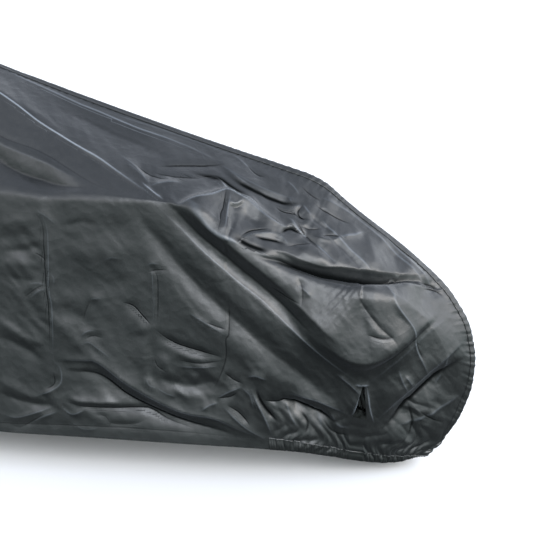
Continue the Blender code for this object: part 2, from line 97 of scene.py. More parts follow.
# The eye point from which the near side's folds are laid out, and where the camera stands
EYE = (1.635, -2.775, 0.236)
ROUTE_STEPS = 6           # points of a fold's curve between two of its marks
CREST_RADIUS = 0.0010     # how tightly a sharp crease is rounded
FOLD_REACH = 2.6          # how many of its widths away a fold still shows
FOLD_TAPER = 0.34         # share of a fold's length that each of its ends takes
TAPERED_WIDTH = 0.35      # how narrow a fold is at its ends
CREASE_LAYERS = 3         # lets the painted lines of two creases pass close to each other
CREASE_REACH = 0.012      # how far from a crease's painted line its distance is noted
CREASE_LINE = 0.0036      # half the least width of the painted line along a crease, highlight above 0 and shade below
CREASE_SHARE = 0.4        # half its width as a share of the fold's narrower side
DEEP_SHADE = -0.9         # a crease with painted shade this dark has a line twice as wide
CREASE_RISE = 0.0011      # how far a crease's painted line stands out, or in, as bump
# pale blue-grey of the painted highlight along the folds' ridges
PAINTED_HIGHLIGHT_COLOUR = (0.24, 0.27, 0.31)
PAINTED_HIGHLIGHT_SHARE = 0.85         # how much of the painted highlight colour the palest line shows
PAINTED_SHADE_SHARE = 0.7          # how much of the cloth's colour the darkest line of painted shade loses
NOSE_TURNS = np.radians((15, 30, 45, 60, 75, 90))
NOSE_STEP = 0.01          # stations between the columns that turn round to the centre plane

# Where the relief fades: levels from the seam and from the hem, and stations from both ends
SEAM_FADE = 0.35
HEM_FADE = 0.30
HEM_SHARE = 0.15          # share of it that is left at the hem
END_FADE = 1.2
LEAST_OUT = 0.0008        # least distance of a side's cloth from the centre plane

# Crumples all over the cloth: size of their facets, and share of their height
CRUMPLES = ((0.075, 1.0), (0.031, 0.55), (0.015, 0.30))
FACET_GRID = 64           # heights of the facets' corners along and across, before they repeat
FINE_FACETS = 0.45        # size of a patch's fine facets as a share of its coarse ones
NEAR_SEED = 10
FAR_SEED = 40

# The elastic's ruffles and the seam's puckers
RUFFLE_START = 0.5        # stations beside the flat hem over which the ruffles set in
FINE_RUFFLE_HEIGHT = 0.042
WIDE_RUFFLE_HEIGHT = 0.085
WIDE_RUFFLE = 2.7         # pitch of the wide ruffles as a share of the fine ones'
CASING_HOLD = 0.85        # share of the ruffles that the casing presses flat
CASING_HOLD_HEIGHT = 0.024
SECOND_PUCKER = 0.61      # pitch of the finer puckers as a share of the others'
PUCKER_REACH = 0.028

# The turned edges of the flat hem and of the slot
TURN_CORNERS = 5
TURN_ROWS = 6
BESIDE_SLOT = 4           # columns from the slot's edge to the one that its hem points at

# The elastic casing
CASING_FINE = 3           # its columns for each of the cloth above it
SECOND_GATHER_PITCH = 0.0113
CASING_LIFT = 0.0004
CASING_LAP = 0.003        # how far its front laps up over the cloth
CASING_LAP_LIFT = 0.0006
BACK_LAP = 0.002
FAR_HANG = 0.009          # how much lower the far side's casing hangs
# How far each row of its foot drops, and how deep it lies as a share of the casing's depth
CASING_FOOT = ((0.0016, 0.25), (0.0022, 0.5), (0.0016, 0.8))

# The centre seam's strip and its little puckers
SEAM_END = 0.02           # stations from the cover's end to the strip's end
SEAM_COLUMNS = 520
SEAM_ROWS = 6
ROWS_BELOW_SEAM = 16      # rows of a side's grid that the strip may lap over
SEAM_PITCH = 0.0115
SECOND_SEAM_PITCH = 0.0073
SEAM_LIFT = 0.0011
SEAM_WAVE = 0.00045
SEAM_THICKNESS = 0.0007
SEAM_RIDGE = 0.0012

# One stitch is a spindle of six points, here 1 long, wide and thick
SPINDLE_POINTS = np.array([(-0.5, 0, 0), (0, -0.5, 0), (0, 0, 0.5), (0, 0.5, 0), (0, 0, -0.5), (0.5, 0, 0)])
SPINDLE_FACES = np.array([(0, 2, 1), (0, 3, 2), (0, 4, 3), (0, 1, 4),
                          (5, 1, 2), (5, 2, 3), (5, 3, 4), (5, 4, 1)])
STITCH_FLATNESS = 0.7     # its thickness as a share of its width
HEM_STITCH_ROWS = 1       # rows of the grid from the hem's edges to its stitches
SEAM_STITCHES = (0.7, 1.0)    # places on the seam's lap: of the stitches, and a second for their normals
SEAM_STITCH_END = 0.05
SEAM_STITCH_COLUMNS = 400
SEAM_STITCH_LIFT = 0.0024

FLAT_MAP = "flat_cloth"   # the UV map that holds where the cloth lies flat
WAVE_SCALE = 0.314        # scale of a wave texture whose bands are 1 m apart
MIX_INPUTS = (0, 6, 7)    # a colour mix's share and its two colours
MIX_OUTPUT = 2

Mark = namedtuple("Mark", "station x y z")
# a fold's last number before its route is the painted highlight along its line, or painted shade below 0
Fold = namedtuple("Fold", "name height left right crisp worn route")
Patch = namedtuple("Patch", "name x z half_x half_z turn height size")
Panel = namedtuple("Panel", "stations levels points normals creases far slot_column")
SkyStop = namedtuple("SkyStop", "place colour")

SEAM_LINE = (
    Mark(0, -0.540, 0.0, -1.015),
    Mark(2, -0.595, 0.0, -0.880),
    Mark(3, -0.598, 0.0, -0.740),
    Mark(4, -0.530, 0.0, -0.560),
    Mark(5, -0.330, 0.0, -0.300),
    Mark(6, -0.115, 0.0, -0.042),
    Mark(7, -0.008, 0.0, 0.021),
    Mark(8, 0.168, 0.0, -0.045),
    Mark(9, 0.463, 0.0, -0.139),
    Mark(10, 0.740, 0.0, -0.224),
    Mark(12, 1.066, 0.0, -0.316),
    Mark(13, 1.148, 0.0, -0.386),
    Mark(14, 1.292, 0.0, -0.488),
    Mark(15, 1.405, 0.0, -0.585),
    Mark(16, 1.467, 0.0, -0.680),
    Mark(17, 1.488, 0.0, -0.775),
    Mark(18, 1.482, 0.0, -0.865),
    Mark(19, 1.454, 0.0, -0.950),
    Mark(20, 1.412, 0.0, -1.020),
)
CROWN_LINE = (
    Mark(0, -0.524, -0.010, -1.027),
    Mark(2, -0.570, -0.045, -0.885),
    Mark(3, -0.568, -0.055, -0.740),
    Mark(4, -0.490, -0.070, -0.570),
    Mark(5, -0.300, -0.090, -0.325),
    Mark(6, -0.095, -0.075, -0.080),
    Mark(7, 0.005, -0.045, -0.012),
    Mark(8, 0.227, -0.120, -0.103),
    Mark(9, 0.522, -0.170, -0.257),
    Mark(10, 0.752, -0.212, -0.336),
    Mark(11, 0.897, -0.140, -0.354),
    Mark(12, 1.065, -0.100, -0.405),
    Mark(13, 1.165, -0.085, -0.465),
    Mark(14, 1.285, -0.075, -0.545),
    Mark(15, 1.378, -0.060, -0.622),
    Mark(16, 1.432, -0.045, -0.702),
    Mark(17, 1.453, -0.036, -0.782),
    Mark(18, 1.450, -0.032, -0.860),
    Mark(19, 1.425, -0.026, -0.948),
    Mark(20, 1.397, -0.010, -1.032),
)
SHOULDER_LINE = (
    Mark(0, -0.509, -0.015, -1.040),
    Mark(2, -0.530, -0.085, -0.890),
    Mark(4, -0.420, -0.130, -0.590),
    Mark(5, -0.240, -0.185, -0.420),
    Mark(6, -0.060, -0.230, -0.330),
    Mark(7, 0.090, -0.265, -0.325),
    Mark(8, 0.298, -0.290, -0.333),
    Mark(9, 0.560, -0.268, -0.340),
    Mark(10, 0.776, -0.238, -0.351),
    Mark(11, 0.907, -0.225, -0.445),
    Mark(12, 1.075, -0.202, -0.520),
    Mark(13, 1.177, -0.185, -0.567),
    Mark(14, 1.270, -0.150, -0.588),
    Mark(15, 1.345, -0.110, -0.632),
    Mark(16, 1.393, -0.085, -0.695),
    Mark(17, 1.418, -0.065, -0.765),
    Mark(18, 1.420, -0.055, -0.845),
    Mark(19, 1.402, -0.045, -0.940),
    Mark(20, 1.382, -0.015, -1.042),
)
BELLY_LINE = (
    Mark(0, -0.492, -0.019, -1.053),
    Mark(2, -0.450, -0.120, -0.920),
    Mark(4, -0.320, -0.200, -0.720),
    Mark(6, -0.060, -0.265, -0.640),
    Mark(8, 0.262, -0.295, -0.670),
    Mark(9, 0.520, -0.275, -0.680),
    Mark(10, 0.790, -0.250, -0.680),
    Mark(11, 0.930, -0.235, -0.705),
    Mark(12, 1.065, -0.210, -0.750),
    Mark(13, 1.150, -0.188, -0.790),
    Mark(14, 1.219, -0.170, -0.818),
    Mark(15, 1.275, -0.150, -0.832),
    Mark(16, 1.315, -0.128, -0.852),
    Mark(17, 1.342, -0.106, -0.882),
    Mark(18, 1.358, -0.086, -0.920),
    Mark(19, 1.366, -0.060, -0.980),
    Mark(20, 1.367, -0.019, -1.054),
)
HEM_LINE = (
    Mark(0, -0.474, -0.022, -1.066),
    Mark(2, -0.380, -0.100, -1.058),
    Mark(4, -0.250, -0.190, -1.018),
    Mark(5, -0.160, -0.235, -1.000),
    Mark(6, -0.050, -0.272, -0.995),
    Mark(8, 0.253, -0.300, -0.993),
    Mark(9, 0.500, -0.281, -0.990),
    Mark(10, 0.805, -0.240, -0.997),
    Mark(11, 0.950, -0.210, -1.004),
    Mark(12, 1.045, -0.182, -1.014),
    Mark(13, 1.125, -0.150, -1.032),
    Mark(14, 1.200, -0.120, -1.052),
    Mark(16, 1.262, -0.088, -1.066),
    Mark(18, 1.308, -0.060, -1.070),
    Mark(20, 1.352, -0.022, -1.066),
)
GUIDE_LINES = (HEM_LINE, BELLY_LINE, SHOULDER_LINE, CROWN_LINE, SEAM_LINE)

# Columns and rows of the two sides' grids: from, to, count
HEM_ROWS = 6
NEAR_COLUMNS = ((0.0, 8.0, 56), (8.0, 13.0, 196), (13.0, 15.0, 66), (15.0, 20.0, 116))
NEAR_ROWS = ((0.0, HEM_TOP_LEVEL, HEM_ROWS), (HEM_TOP_LEVEL, 1.0, 62),
             (1.0, 2.0, 66), (2.0, 3.0, 54), (3.0, 4.0, 30))
FAR_COLUMNS = ((0.0, 8.0, 80), (8.0, 13.0, 76), (13.0, 15.0, 44), (15.0, 20.0, 62))
FAR_ROWS = ((0.0, HEM_TOP_LEVEL, HEM_ROWS), (HEM_TOP_LEVEL, 1.0, 34),
            (1.0, 2.0, 34), (2.0, 3.0, 26), (3.0, 4.0, 14))

STAGE_RADIUS = 40.0
STAGE_MIDDLE = (0.6, 0.0)
BACKDROP_SHARE = 0.98     # radius of the backdrop as a share of the floor's
ROUND_SIDES = 96
CAMERA_TURN = (np.radians(74.0), 0.0, np.radians(14.0))
SENSOR_WIDTH = 36.0

# Each fold is "height" high along its route of (x, z) marks, and fades over "left" and "right" of it,
# all in millimetres. A "crisp" of 1 is a sharp crease, and 2 is a round one. The number before the
# route is the painted highlight along the fold's line, how much paler it is, or painted shade below 0.
NEAR_FOLDS = (
    Fold("line below the seam", 3.1, 8, 11, 1, 0.55,
         ((51, -7), (168, -50), (226, -76), (284, -99), (341, -121), (399, -144), (456, -164), (512, -186),
          (569, -206), (639, -227), (706, -249), (759, -271), (803, -293))),
    Fold("seam's parallel line one", 1.3, 6, 6, 1, 0.3,
         ((1059, -338), (1108, -370), (1156, -399), (1204, -434), (1280, -500), (1345, -563),
          (1394, -625))),
    Fold("seam's parallel line two", 1.3, 6, 6, 1, 0.2,
         ((1092, -371), (1145, -408), (1197, -445), (1272, -511), (1334, -572), (1384, -634))),
    Fold("seam's parallel line three", -1.3, 6, 6, 1, -0.4,
         ((848, -257), (957, -289), (1059, -327), (1132, -382))),
    Fold("seam allowance edge", 2.5, 6, 8, 1, 0.28,
         ((442, -151), (521, -176), (626, -204), (671, -217), (740, -237), (801, -259), (875, -282))),
    Fold("tent ridge", 2, 7, 7, 1, 0.8,
         ((-41, -3), (105, -87), (163, -121), (220, -158), (280, -200), (338, -233), (398, -266),
          (458, -300), (515, -337), (575, -374), (614, -398))),
    Fold("tent ridge's ramp", 4, 45, 6, 1, 0,
         ((364, -249), (458, -300), (515, -337), (575, -374), (625, -406))),
    Fold("tent ridge's twin", 3.7, 7, 8, 1, 0.5, ((567, -351), (592, -372), (634, -397))),
    Fold("hollow above the tent ridge", -4, 34, 28, 2, -0.2,
         ((281, -137), (403, -179), (463, -204), (502, -222), (582, -251), (658, -286))),
    Fold("edge of the light band", -3, 17, 8, 1, -0.2,
         ((7, -159), (154, -240), (246, -270), (293, -288), (354, -322), (423, -360), (513, -395))),
    Fold("lap of the left hollow", 5, 34, 11, 1.1, 0.05,
         ((-27, -185), (152, -263), (244, -296), (291, -313), (353, -339), (434, -371))),
    Fold("left hollow", -24, 22, 45, 1.2, -0.3,
         ((-63, -232), (89, -282), (149, -308), (208, -334), (271, -348), (300, -358), (357, -369),
          (428, -377))),
    Fold("shoulder edge", 3, 28, 17, 1.4, 0,
         ((-47, -404), (142, -400), (279, -410), (480, -408), (591, -405), (694, -408))),
    Fold("long crease of the top", -5, 6, 22, 1, -0.8,
         ((608, -307), (677, -299), (736, -296), (814, -293))),
    Fold("lap below the long crease", 5, 14, 8, 1, 0.35,
         ((724, -332), (758, -327), (780, -327), (797, -340), (813, -361), (847, -375), (874, -385),
          (894, -403), (929, -428))),
    Fold("hollow below the lap", -5, 11, 22, 1.1, -0.9,
         ((696, -314), (753, -323), (792, -332), (825, -352), (863, -372), (896, -389))),
    Fold("edge of the wedge", 5, 56, 8, 1, 0.1,
         ((759, -274), (798, -296), (847, -326), (908, -353), (962, -369), (1017, -380))),
    Fold("wedge", -5, 11, 28, 1.1, -1,
         ((803, -310), (842, -338), (875, -355), (907, -369), (943, -381), (984, -390), (1033, -387))),
    Fold("line below the wedge", 2.5, 8, 8, 1, 0.15,
         ((803, -301), (847, -332), (880, -352), (907, -372), (929, -390))),
    Fold("zigzag one", 5, 8, 8, 1, 0.16, ((979, -369), (995, -395), (1019, -393))),
    Fold("zigzag two", -5, 8, 8, 1, -0.75, ((1019, -391), (1006, -413), (1028, -436))),
    Fold("fan one", 3.1, 7, 8, 1, 0.12, ((503, -274), (559, -318), (592, -361))),
    Fold("fan two", 2.7, 7, 8, 1, 0.11, ((520, -295), (570, -334), (598, -363))),
    Fold("fan three", -3.1, 7, 8, 1, -0.59, ((545, -299), (593, -330), (656, -341))),
    Fold("fan four", 4.4, 8, 8, 1, 0.16, ((584, -364), (633, -350), (690, -345))),
    Fold("fan five", -3.1, 8, 8, 1, -0.59, ((594, -322), (665, -330), (750, -331))),
    Fold("corner's left edge", 4, 17, 22, 1, 0.2,
         ((678, -389), (694, -405), (736, -439), (775, -476), (837, -503), (873, -520))),
    Fold("corner's top edge", 24, 11, 78, 1.1, 0.35,
         ((654, -413), (694, -405), (765, -388), (802, -375), (830, -379), (880, -401))),
    Fold("corner's crest", 14, 11, 56, 1.1, 0.25,
         ((808, -375), (860, -391), (894, -414), (932, -442), (990, -463))),
    Fold("corner's upright crease", -4, 6, 20, 1, -0.7,
         ((805, -366), (795, -416), (786, -439), (784, -478))),
    Fold("corner's upright ridge", 3, 20, 7, 1, 0.2, ((819, -377), (807, -421), (795, -483))),
    Fold("corner's hollow", -7, 25, 25, 1.6, 0, ((830, -423), (874, -440), (924, -453))),
    Fold("pinch of the corner one", 4.4, 8, 8, 1, 0.16, ((807, -399), (830, -406), (855, -391))),
    Fold("pinch of the corner two", -4.4, 8, 8, 1, -0.15, ((807, -413), (835, -414), (858, -399))),
    Fold("pocket one", 3.1, 8, 11, 1, 0.12, ((840, -505), (874, -487), (913, -479), (954, -479))),
    Fold("pocket two", -3.1, 8, 11, 1, -0.85, ((840, -497), (874, -475), (924, -467))),
    Fold("shade behind the front edge", -5, 14, 11, 1.2, -1,
         ((820, -484), (854, -506), (890, -520), (935, -530))),
    Fold("dark fold of the pocket", -2.5, 8, 14, 1, -0.9,
         ((874, -489), (907, -496), (946, -499), (973, -508))),
    Fold("pocket three", 2.5, 8, 8, 1, 0.1, ((943, -474), (965, -489), (979, -511))),
    Fold("small tent", 6, 14, 17, 1, 0.16, ((981, -425), (1001, -454), (1028, -474))),
    Fold("small tent's foot", -7.5, 7, 8, 1, -0.9, ((951, -479), (984, -458), (1020, -475))),
    Fold("thin crease below the tent", -2.5, 6, 6, 1, -0.47, ((971, -514), (1006, -503), (1047, -498))),
    Fold("patch below the tent", 5, 25, 25, 1.6, 0, ((1001, -493), (1045, -523), (1094, -553))),
    Fold("front edge", 4, 14, 28, 1.1, 0.15,
         ((736, -439), (781, -475), (837, -503), (887, -522), (946, -549), (1012, -575))),
    Fold("brow of the front edge", 6, 36, 36, 1.5, 0,
         ((722, -448), (767, -490), (823, -526), (884, -561), (951, -596), (1018, -628), (1085, -654),
          (1140, -672))),
    Fold("valley behind the front edge", -30, 17, 14, 1.1, -1,
         ((868, -526), (907, -540), (957, -551), (1012, -564), (1067, -574), (1122, -579), (1176, -585),
          (1229, -588), (1282, -581), (1366, -578))),
    Fold("lip above the valley", 14, 84, 8, 1, -0.35,
         ((890, -525), (957, -526), (985, -535), (1012, -547), (1067, -560), (1121, -559), (1175, -561),
          (1207, -564), (1282, -565), (1366, -564))),
    Fold("foot of the valley", 20, 11, 73, 1.3, 0,
         ((1133, -620), (1176, -609), (1224, -605), (1272, -598), (1320, -595), (1367, -597))),
    Fold("end crease of the valley one", -5, 8, 8, 1, -0.75, ((1330, -583), (1361, -586), (1390, -598))),
    Fold("end crease of the valley two", -3.7, 8, 8, 1, -0.7, ((1341, -602), (1367, -597), (1399, -614))),
    Fold("first long crease", -5, 8, 10, 1, 0.3, ((984, -422), (1008, -459), (1066, -509), (1116, -557))),
    Fold("first long crease, lower", -5, 10, 14, 1, -0.25,
         ((1154, -590), (1169, -631), (1222, -700), (1263, -739), (1280, -774))),
    Fold("second long crease", 4.4, 11, 8, 1, 0.3,
         ((1060, -418), (1093, -454), (1139, -504), (1180, -542), (1218, -580))),
    Fold("second long crease, lower", 4.4, 11, 8, 1, 0.25,
         ((1218, -580), (1260, -637), (1314, -701), (1328, -761), (1357, -821), (1372, -857))),
    Fold("shade beside the second crease", -3.7, 14, 8, 1.3, 0,
         ((1071, -461), (1120, -504), (1159, -543), (1197, -587))),
    Fold("facet's top", 4, 11, 17, 1, 0.16, ((1093, -481), (1141, -470), (1189, -454))),
    Fold("facet's right edge", 5, 20, 25, 1.3, 0, ((1189, -454), (1201, -502), (1213, -572))),
    Fold("hollow beside the facet", -5, 28, 28, 2, 0, ((1237, -467), (1270, -519), (1313, -554))),
    Fold("swell above the valley", 6, 34, 28, 2, 0, ((1259, -520), (1320, -543), (1387, -576))),
    Fold("crumple beside the wedge one", -5, 11, 11, 1.2, 0, ((1033, -414), (1071, -445), (1109, -459))),
    Fold("crumple beside the wedge two", 4.4, 11, 11, 1.2, 0, ((1042, -474), (1082, -485), (1125, -479))),
    Fold("crumple beside the seam one", 3.7, 8, 11, 1, 0.15, ((1059, -364), (1119, -393), (1178, -428))),
    Fold("crumple beside the seam two", -3.7, 8, 11, 1, -0.7, ((1044, -384), (1103, -418), (1151, -440))),
    Fold("crumple beside the seam three", 1.9, 8, 8, 1, 0.2,
         ((815, -258), (848, -278), (880, -309), (908, -329))),
    Fold("crumple beside the seam four", -1.9, 8, 8, 1, -0.6, ((864, -293), (891, -316), (919, -323))),
    Fold("crumple beside the seam five", 1.9, 8, 8, 1, 0.15, ((973, -326), (995, -346), (1011, -367))),
    Fold("crumple beside the seam six", -1.9, 8, 8, 1, -0.6, ((1011, -340), (1043, -365), (1070, -380))),
    Fold("crumple beside the seam seven", 1.9, 6, 6, 1, 0.2, ((1017, -388), (1033, -409), (1044, -419))),
    Fold("crumple beside the seam eight", -2.5, 8, 8, 1, -0.8, ((940, -398), (968, -412), (1006, -416))),
    Fold("crumple beside the seam nine", -2.5, 8, 8, 1, -0.4, ((979, -401), (1011, -424), (1044, -430))),
    Fold("crumple beside the seam ten", -2.5, 8, 8, 1, -0.6, ((1012, -448), (1039, -457), (1071, -453))),
    Fold("crumple beside the seam eleven", -2.5, 8, 8, 1, -0.6, ((1061, -478), (1093, -471), (1125, -479))),
    Fold("crease of the long edge", -3.7, 7, 11, 1, -0.7, ((1001, -432), (1023, -469), (1066, -510))),
    Fold("fold of the facet", 2.5, 8, 8, 1, 0.2, ((1120, -469), (1152, -470), (1178, -457))),
    Fold("narrow ridge to the slot", 5.5, 14, 67, 1.4, 0,
         ((591, -400), (619, -434), (675, -482), (732, -535), (788, -582), (844, -627), (906, -673),
          (985, -739), (1050, -788), (1118, -841), (1193, -892))),
    Fold("bright line of the narrow ridge", 2.5, 8, 14, 1, 0.22,
         ((597, -396), (619, -423), (675, -473), (732, -526), (788, -573), (844, -618), (907, -663),
          (983, -731), (1050, -783), (1118, -835), (1193, -886))),
    Fold("trough above the narrow ridge", -12, 20, 42, 1.4, -0.35,
         ((592, -361), (620, -387), (676, -437), (732, -490), (789, -534), (845, -578), (907, -625),
          (985, -690), (1050, -742), (1117, -797), (1181, -849))),
    Fold("trough below the narrow ridge", -13, 31, 39, 1.8, -0.35,
         ((538, -414), (577, -471), (628, -533), (690, -600), (755, -662), (821, -718), (895, -782),
          (974, -842), (1063, -902), (1156, -957))),
    Fold("wide ridge to the slot", 5, 62, 56, 1.8, 0,
         ((503, -418), (538, -487), (583, -550), (649, -612), (706, -671), (774, -730), (843, -789),
          (906, -836), (983, -888), (1052, -929), (1156, -972))),
    Fold("broad panel", 16, 95, 20, 1.2, 0,
         ((663, -382), (747, -458), (817, -507), (887, -561), (943, -605), (1013, -665), (1083, -725),
          (1158, -782))),
    Fold("broad panel's rounded foot", 44, 185, 36, 1.5, 0,
         ((952, -636), (1041, -732), (1125, -791), (1186, -805), (1248, -780), (1319, -720), (1390, -653))),
    Fold("crinkle on the panel one", -5, 8, 11, 1, -0.4,
         ((1004, -581), (1018, -611), (1021, -642), (1016, -671))),
    Fold("crinkle on the panel two", 3.7, 8, 8, 1, 0.15, ((1007, -609), (1032, -624), (1046, -640))),
    Fold("crinkle on the panel three", -3.1, 8, 8, 1, -0.59, ((929, -618), (979, -645), (1021, -662))),
    Fold("crinkle on the panel four", -3.1, 8, 8, 1, -0.59, ((1190, -725), (1228, -733), (1265, -727))),
    Fold("thin ridge on the trough", 4.4, 8, 8, 1, 0.16, ((1115, -852), (1155, -884), (1188, -910))),
    Fold("top ridge of the taut band", 3.5, 14, 39, 1.2, 0.05,
         ((1193, -886), (1231, -847), (1270, -803), (1340, -735), (1429, -655))),
    Fold("shade above the taut band", -8, 14, 22, 1.6, -0.35,
         ((1176, -835), (1208, -826), (1251, -794), (1309, -743), (1391, -675))),
    Fold("slot's left hem", 1.9, 7, 7, 1, 0.3, ((1190, -880), (1183, -907), (1172, -941), (1159, -981))),
    Fold("slot's right hem", 1.9, 7, 7, 1, 0.35, ((1199, -880), (1205, -908), (1211, -949), (1224, -995))),
    Fold("slot's top hem", 1.9, 7, 7, 1, 0.35, ((1166, -883), (1185, -882), (1210, -879))),
    Fold("edge below the taut band", 11, 73, 8, 1, 0.12,
         ((1218, -998), (1282, -921), (1337, -863), (1370, -826), (1416, -776), (1471, -718))),
    Fold("recess below the taut band", -30, 22, 67, 1.2, -0.95,
         ((1235, -1023), (1315, -938), (1357, -890), (1413, -825), (1468, -772))),
    Fold("short crease of the band one", 3.7, 8, 8, 1, 0.15, ((1282, -823), (1294, -859), (1314, -895))),
    Fold("short crease of the band two", 3.1, 8, 8, 1, 0.12, ((1299, -841), (1313, -857), (1327, -876))),
    Fold("short crease of the band three", -2.5, 6, 8, 1, -0.47,
         ((1322, -731), (1336, -769), (1354, -802))),
    Fold("left flap's fold", 6.3, 11, 14, 1, 0.16, ((1193, -886), (1175, -935), (1159, -978))),
    Fold("fold below the band one", 4.8, 17, 20, 1.2, 0, ((1294, -946), (1279, -1007), (1264, -1056))),
    Fold("fold below the band two", -4.8, 14, 17, 1.2, -0.7, ((1321, -938), (1333, -983), (1318, -1032))),
    Fold("fold below the band three", 4.2, 17, 17, 1.2, 0,
         ((1367, -875), (1380, -937), (1398, -976), (1436, -990))),
    Fold("fold below the band four", 4.5, 14, 11, 1, 0.16,
         ((1284, -1000), (1349, -976), (1412, -928), (1468, -882))),
    Fold("fold below the band five", -3.7, 11, 11, 1, -0.7, ((1354, -952), (1381, -966), (1419, -974))),
    Fold("fold below the band six", 3.7, 11, 14, 1, 0.15, ((1411, -768), (1413, -825), (1394, -878))),
    Fold("fold below the band seven", 4.5, 14, 14, 1.2, 0, ((1258, -1057), (1296, -1035), (1341, -1042))),
    Fold("fold below the band eight", -3.7, 11, 11, 1.2, -0.7,
         ((1308, -1063), (1352, -1046), (1394, -1018))),
    Fold("end of the wide ridge", 8, 28, 8, 1, 0.16, ((975, -925), (1066, -940), (1156, -975))),
    Fold("recess left of the slot", -22, 11, 34, 1.5, -0.95, ((946, -946), (1032, -967), (1129, -1005))),
    Fold("facet left of the slot one", 2.9, 17, 17, 1, 0.12, ((1038, -949), (1066, -982), (1078, -1029))),
    Fold("facet left of the slot two", -3.6, 14, 14, 1, -0.67,
         ((1015, -981), (1038, -1015), (1027, -1052))),
    Fold("facet left of the slot three", 2.9, 14, 17, 1, 0.12,
         ((1100, -972), (1123, -1006), (1157, -1014))),
    Fold("facet left of the slot four", -3, 14, 14, 1, -0.56, ((1078, -998), (1112, -1031), (1163, -1037))),
    Fold("facet left of the slot five", 3.6, 14, 11, 1, 0.14, ((969, -944), (986, -990), (1010, -1030))),
    Fold("black crease over the casing", -7, 8, 11, 1, -0.95,
         ((888, -916), (897, -951), (923, -990), (958, -1023))),
    Fold("ridge over the casing", 7.5, 11, 11, 1, 0.16,
         ((871, -923), (894, -969), (917, -1015), (937, -1068))),
    Fold("fold over the casing one", 6.3, 14, 11, 1, 0.16, ((859, -891), (888, -883), (923, -894))),
    Fold("fold over the casing two", -5, 11, 11, 1, -0.75, ((906, -956), (946, -958), (992, -941))),
    Fold("upright crease", -2.7, 6, 8, 1, -0.52,
         ((810, -646), (811, -762), (802, -787), (802, -834), (790, -880), (753, -965))),
    Fold("bright crease beside it", 3.2, 8, 8, 1, 0.13, ((690, -710), (742, -739), (803, -772))),
    Fold("dark crease beside it", -2.7, 8, 8, 1, -0.52, ((745, -738), (780, -750), (806, -757))),
    Fold("crease of the dark wall", -6, 8, 22, 1, -0.8,
         ((585, -766), (643, -806), (720, -826), (799, -840))),
    Fold("swell below the dark wall", 5.2, 14, 28, 1.5, 0,
         ((602, -804), (672, -840), (737, -852), (790, -853))),
    Fold("streak one", -2.7, 8, 8, 1, -0.52, ((660, -859), (725, -862), (790, -850))),
    Fold("streak two", 2.7, 8, 8, 1, 0.11, ((653, -877), (713, -875), (784, -865))),
    Fold("light patch one", 4.5, 25, 22, 1.6, 0, ((601, -834), (629, -886), (682, -917))),
    Fold("light patch two", 4.5, 22, 20, 1.3, 0, ((591, -938), (663, -956), (741, -972))),
    Fold("hollow between the patches", -4.5, 17, 17, 1.4, 0,
         ((580, -902), (634, -928), (712, -933), (789, -901))),
    Fold("hollow beside the star", -3.8, 22, 22, 1.8, 0, ((712, -902), (741, -936), (747, -960))),
    Fold("star one", 3.7, 8, 11, 1, 0.15, ((765, -970), (806, -942), (853, -919))),
    Fold("star two", -3.7, 8, 8, 1, -0.7, ((771, -963), (812, -956), (836, -936))),
    Fold("star three", 3.7, 8, 8, 1, 0.15, ((785, -980), (855, -1043), (926, -1079))),
    Fold("star four", -3.7, 8, 8, 1, -0.7, ((800, -979), (841, -1005), (876, -1044))),
    Fold("star five", 3.7, 11, 11, 1, 0.15, ((722, -1005), (753, -984), (782, -974))),
    Fold("star six", -3.7, 8, 11, 1, -0.7, ((795, -882), (824, -904), (853, -913))),
    Fold("star seven", 2.7, 8, 8, 1, 0.11, ((842, -920), (871, -947), (882, -989))),
    Fold("overhang of the wall", 13, 45, 8, 1, 0.16,
         ((261, -895), (372, -885), (416, -887), (500, -941), (587, -985), (677, -1016), (758, -1023),
          (841, -1054), (929, -1079))),
    Fold("recess below the overhang", -15, 8, 36, 1.4, -0.95,
         ((295, -923), (408, -925), (492, -979), (577, -1017), (679, -1047), (787, -1063), (870, -1082))),
    Fold("long dark crease", -7, 8, 14, 1, -0.75,
         ((289, -1018), (374, -1031), (478, -1027), (558, -1022), (625, -1049), (718, -1071))),
    Fold("swell above the long dark crease", 6.3, 14, 11, 1.2, 0,
         ((309, -1006), (384, -1015), (484, -1011))),
    Fold("pocket fold one", 5, 8, 11, 1, 0.16, ((294, -1040), (328, -1058), (374, -1035))),
    Fold("pocket fold two", -5, 8, 8, 1, -0.25,
         ((383, -1050), (429, -1057), (450, -1077), (522, -1070), (567, -1046))),
    Fold("pocket fold three", 5, 8, 8, 1, 0.16, ((317, -1082), (361, -1103), (412, -1094))),
    Fold("pocket fold four", -5, 8, 8, 1, -0.75, ((111, -1107), (156, -1118), (241, -1064))),
    Fold("pocket fold five", 5, 8, 11, 1, 0.16, ((90, -1077), (142, -1088), (222, -1060), (275, -1035))),
    Fold("pocket fold six", 5, 11, 11, 1, 0.16, ((180, -1106), (234, -1075), (287, -1053))),
    Fold("hem's upper stitches", -1.9, 6, 6, 1, -0.5,
         ((-218, -1129), (88, -1113), (317, -1096), (537, -1084), (721, -1080), (840, -1079),
          (917, -1080))),
    Fold("first upright fold", 3.4, 8, 8, 1, 0.14,
         ((247, -438), (275, -479), (281, -531), (275, -668), (281, -730), (278, -825), (271, -897))),
    Fold("shade of the first upright fold", -3, 7, 10, 1, -0.7,
         ((234, -441), (265, -486), (266, -562), (266, -668), (270, -731), (267, -832), (262, -888))),
    Fold("first upright fold's foot", 3.4, 8, 8, 1, 0.14,
         ((271, -897), (295, -917), (296, -960), (265, -989), (202, -1017))),
    Fold("foot's shade", -3, 8, 8, 1, -0.56, ((272, -931), (273, -969), (240, -991))),
    Fold("wave one", -3.7, 14, 14, 1.5, 0, ((128, -573), (204, -568), (236, -555), (272, -573))),
    Fold("wave two", 3, 17, 17, 1.6, 0, ((126, -609), (208, -604), (263, -615))),
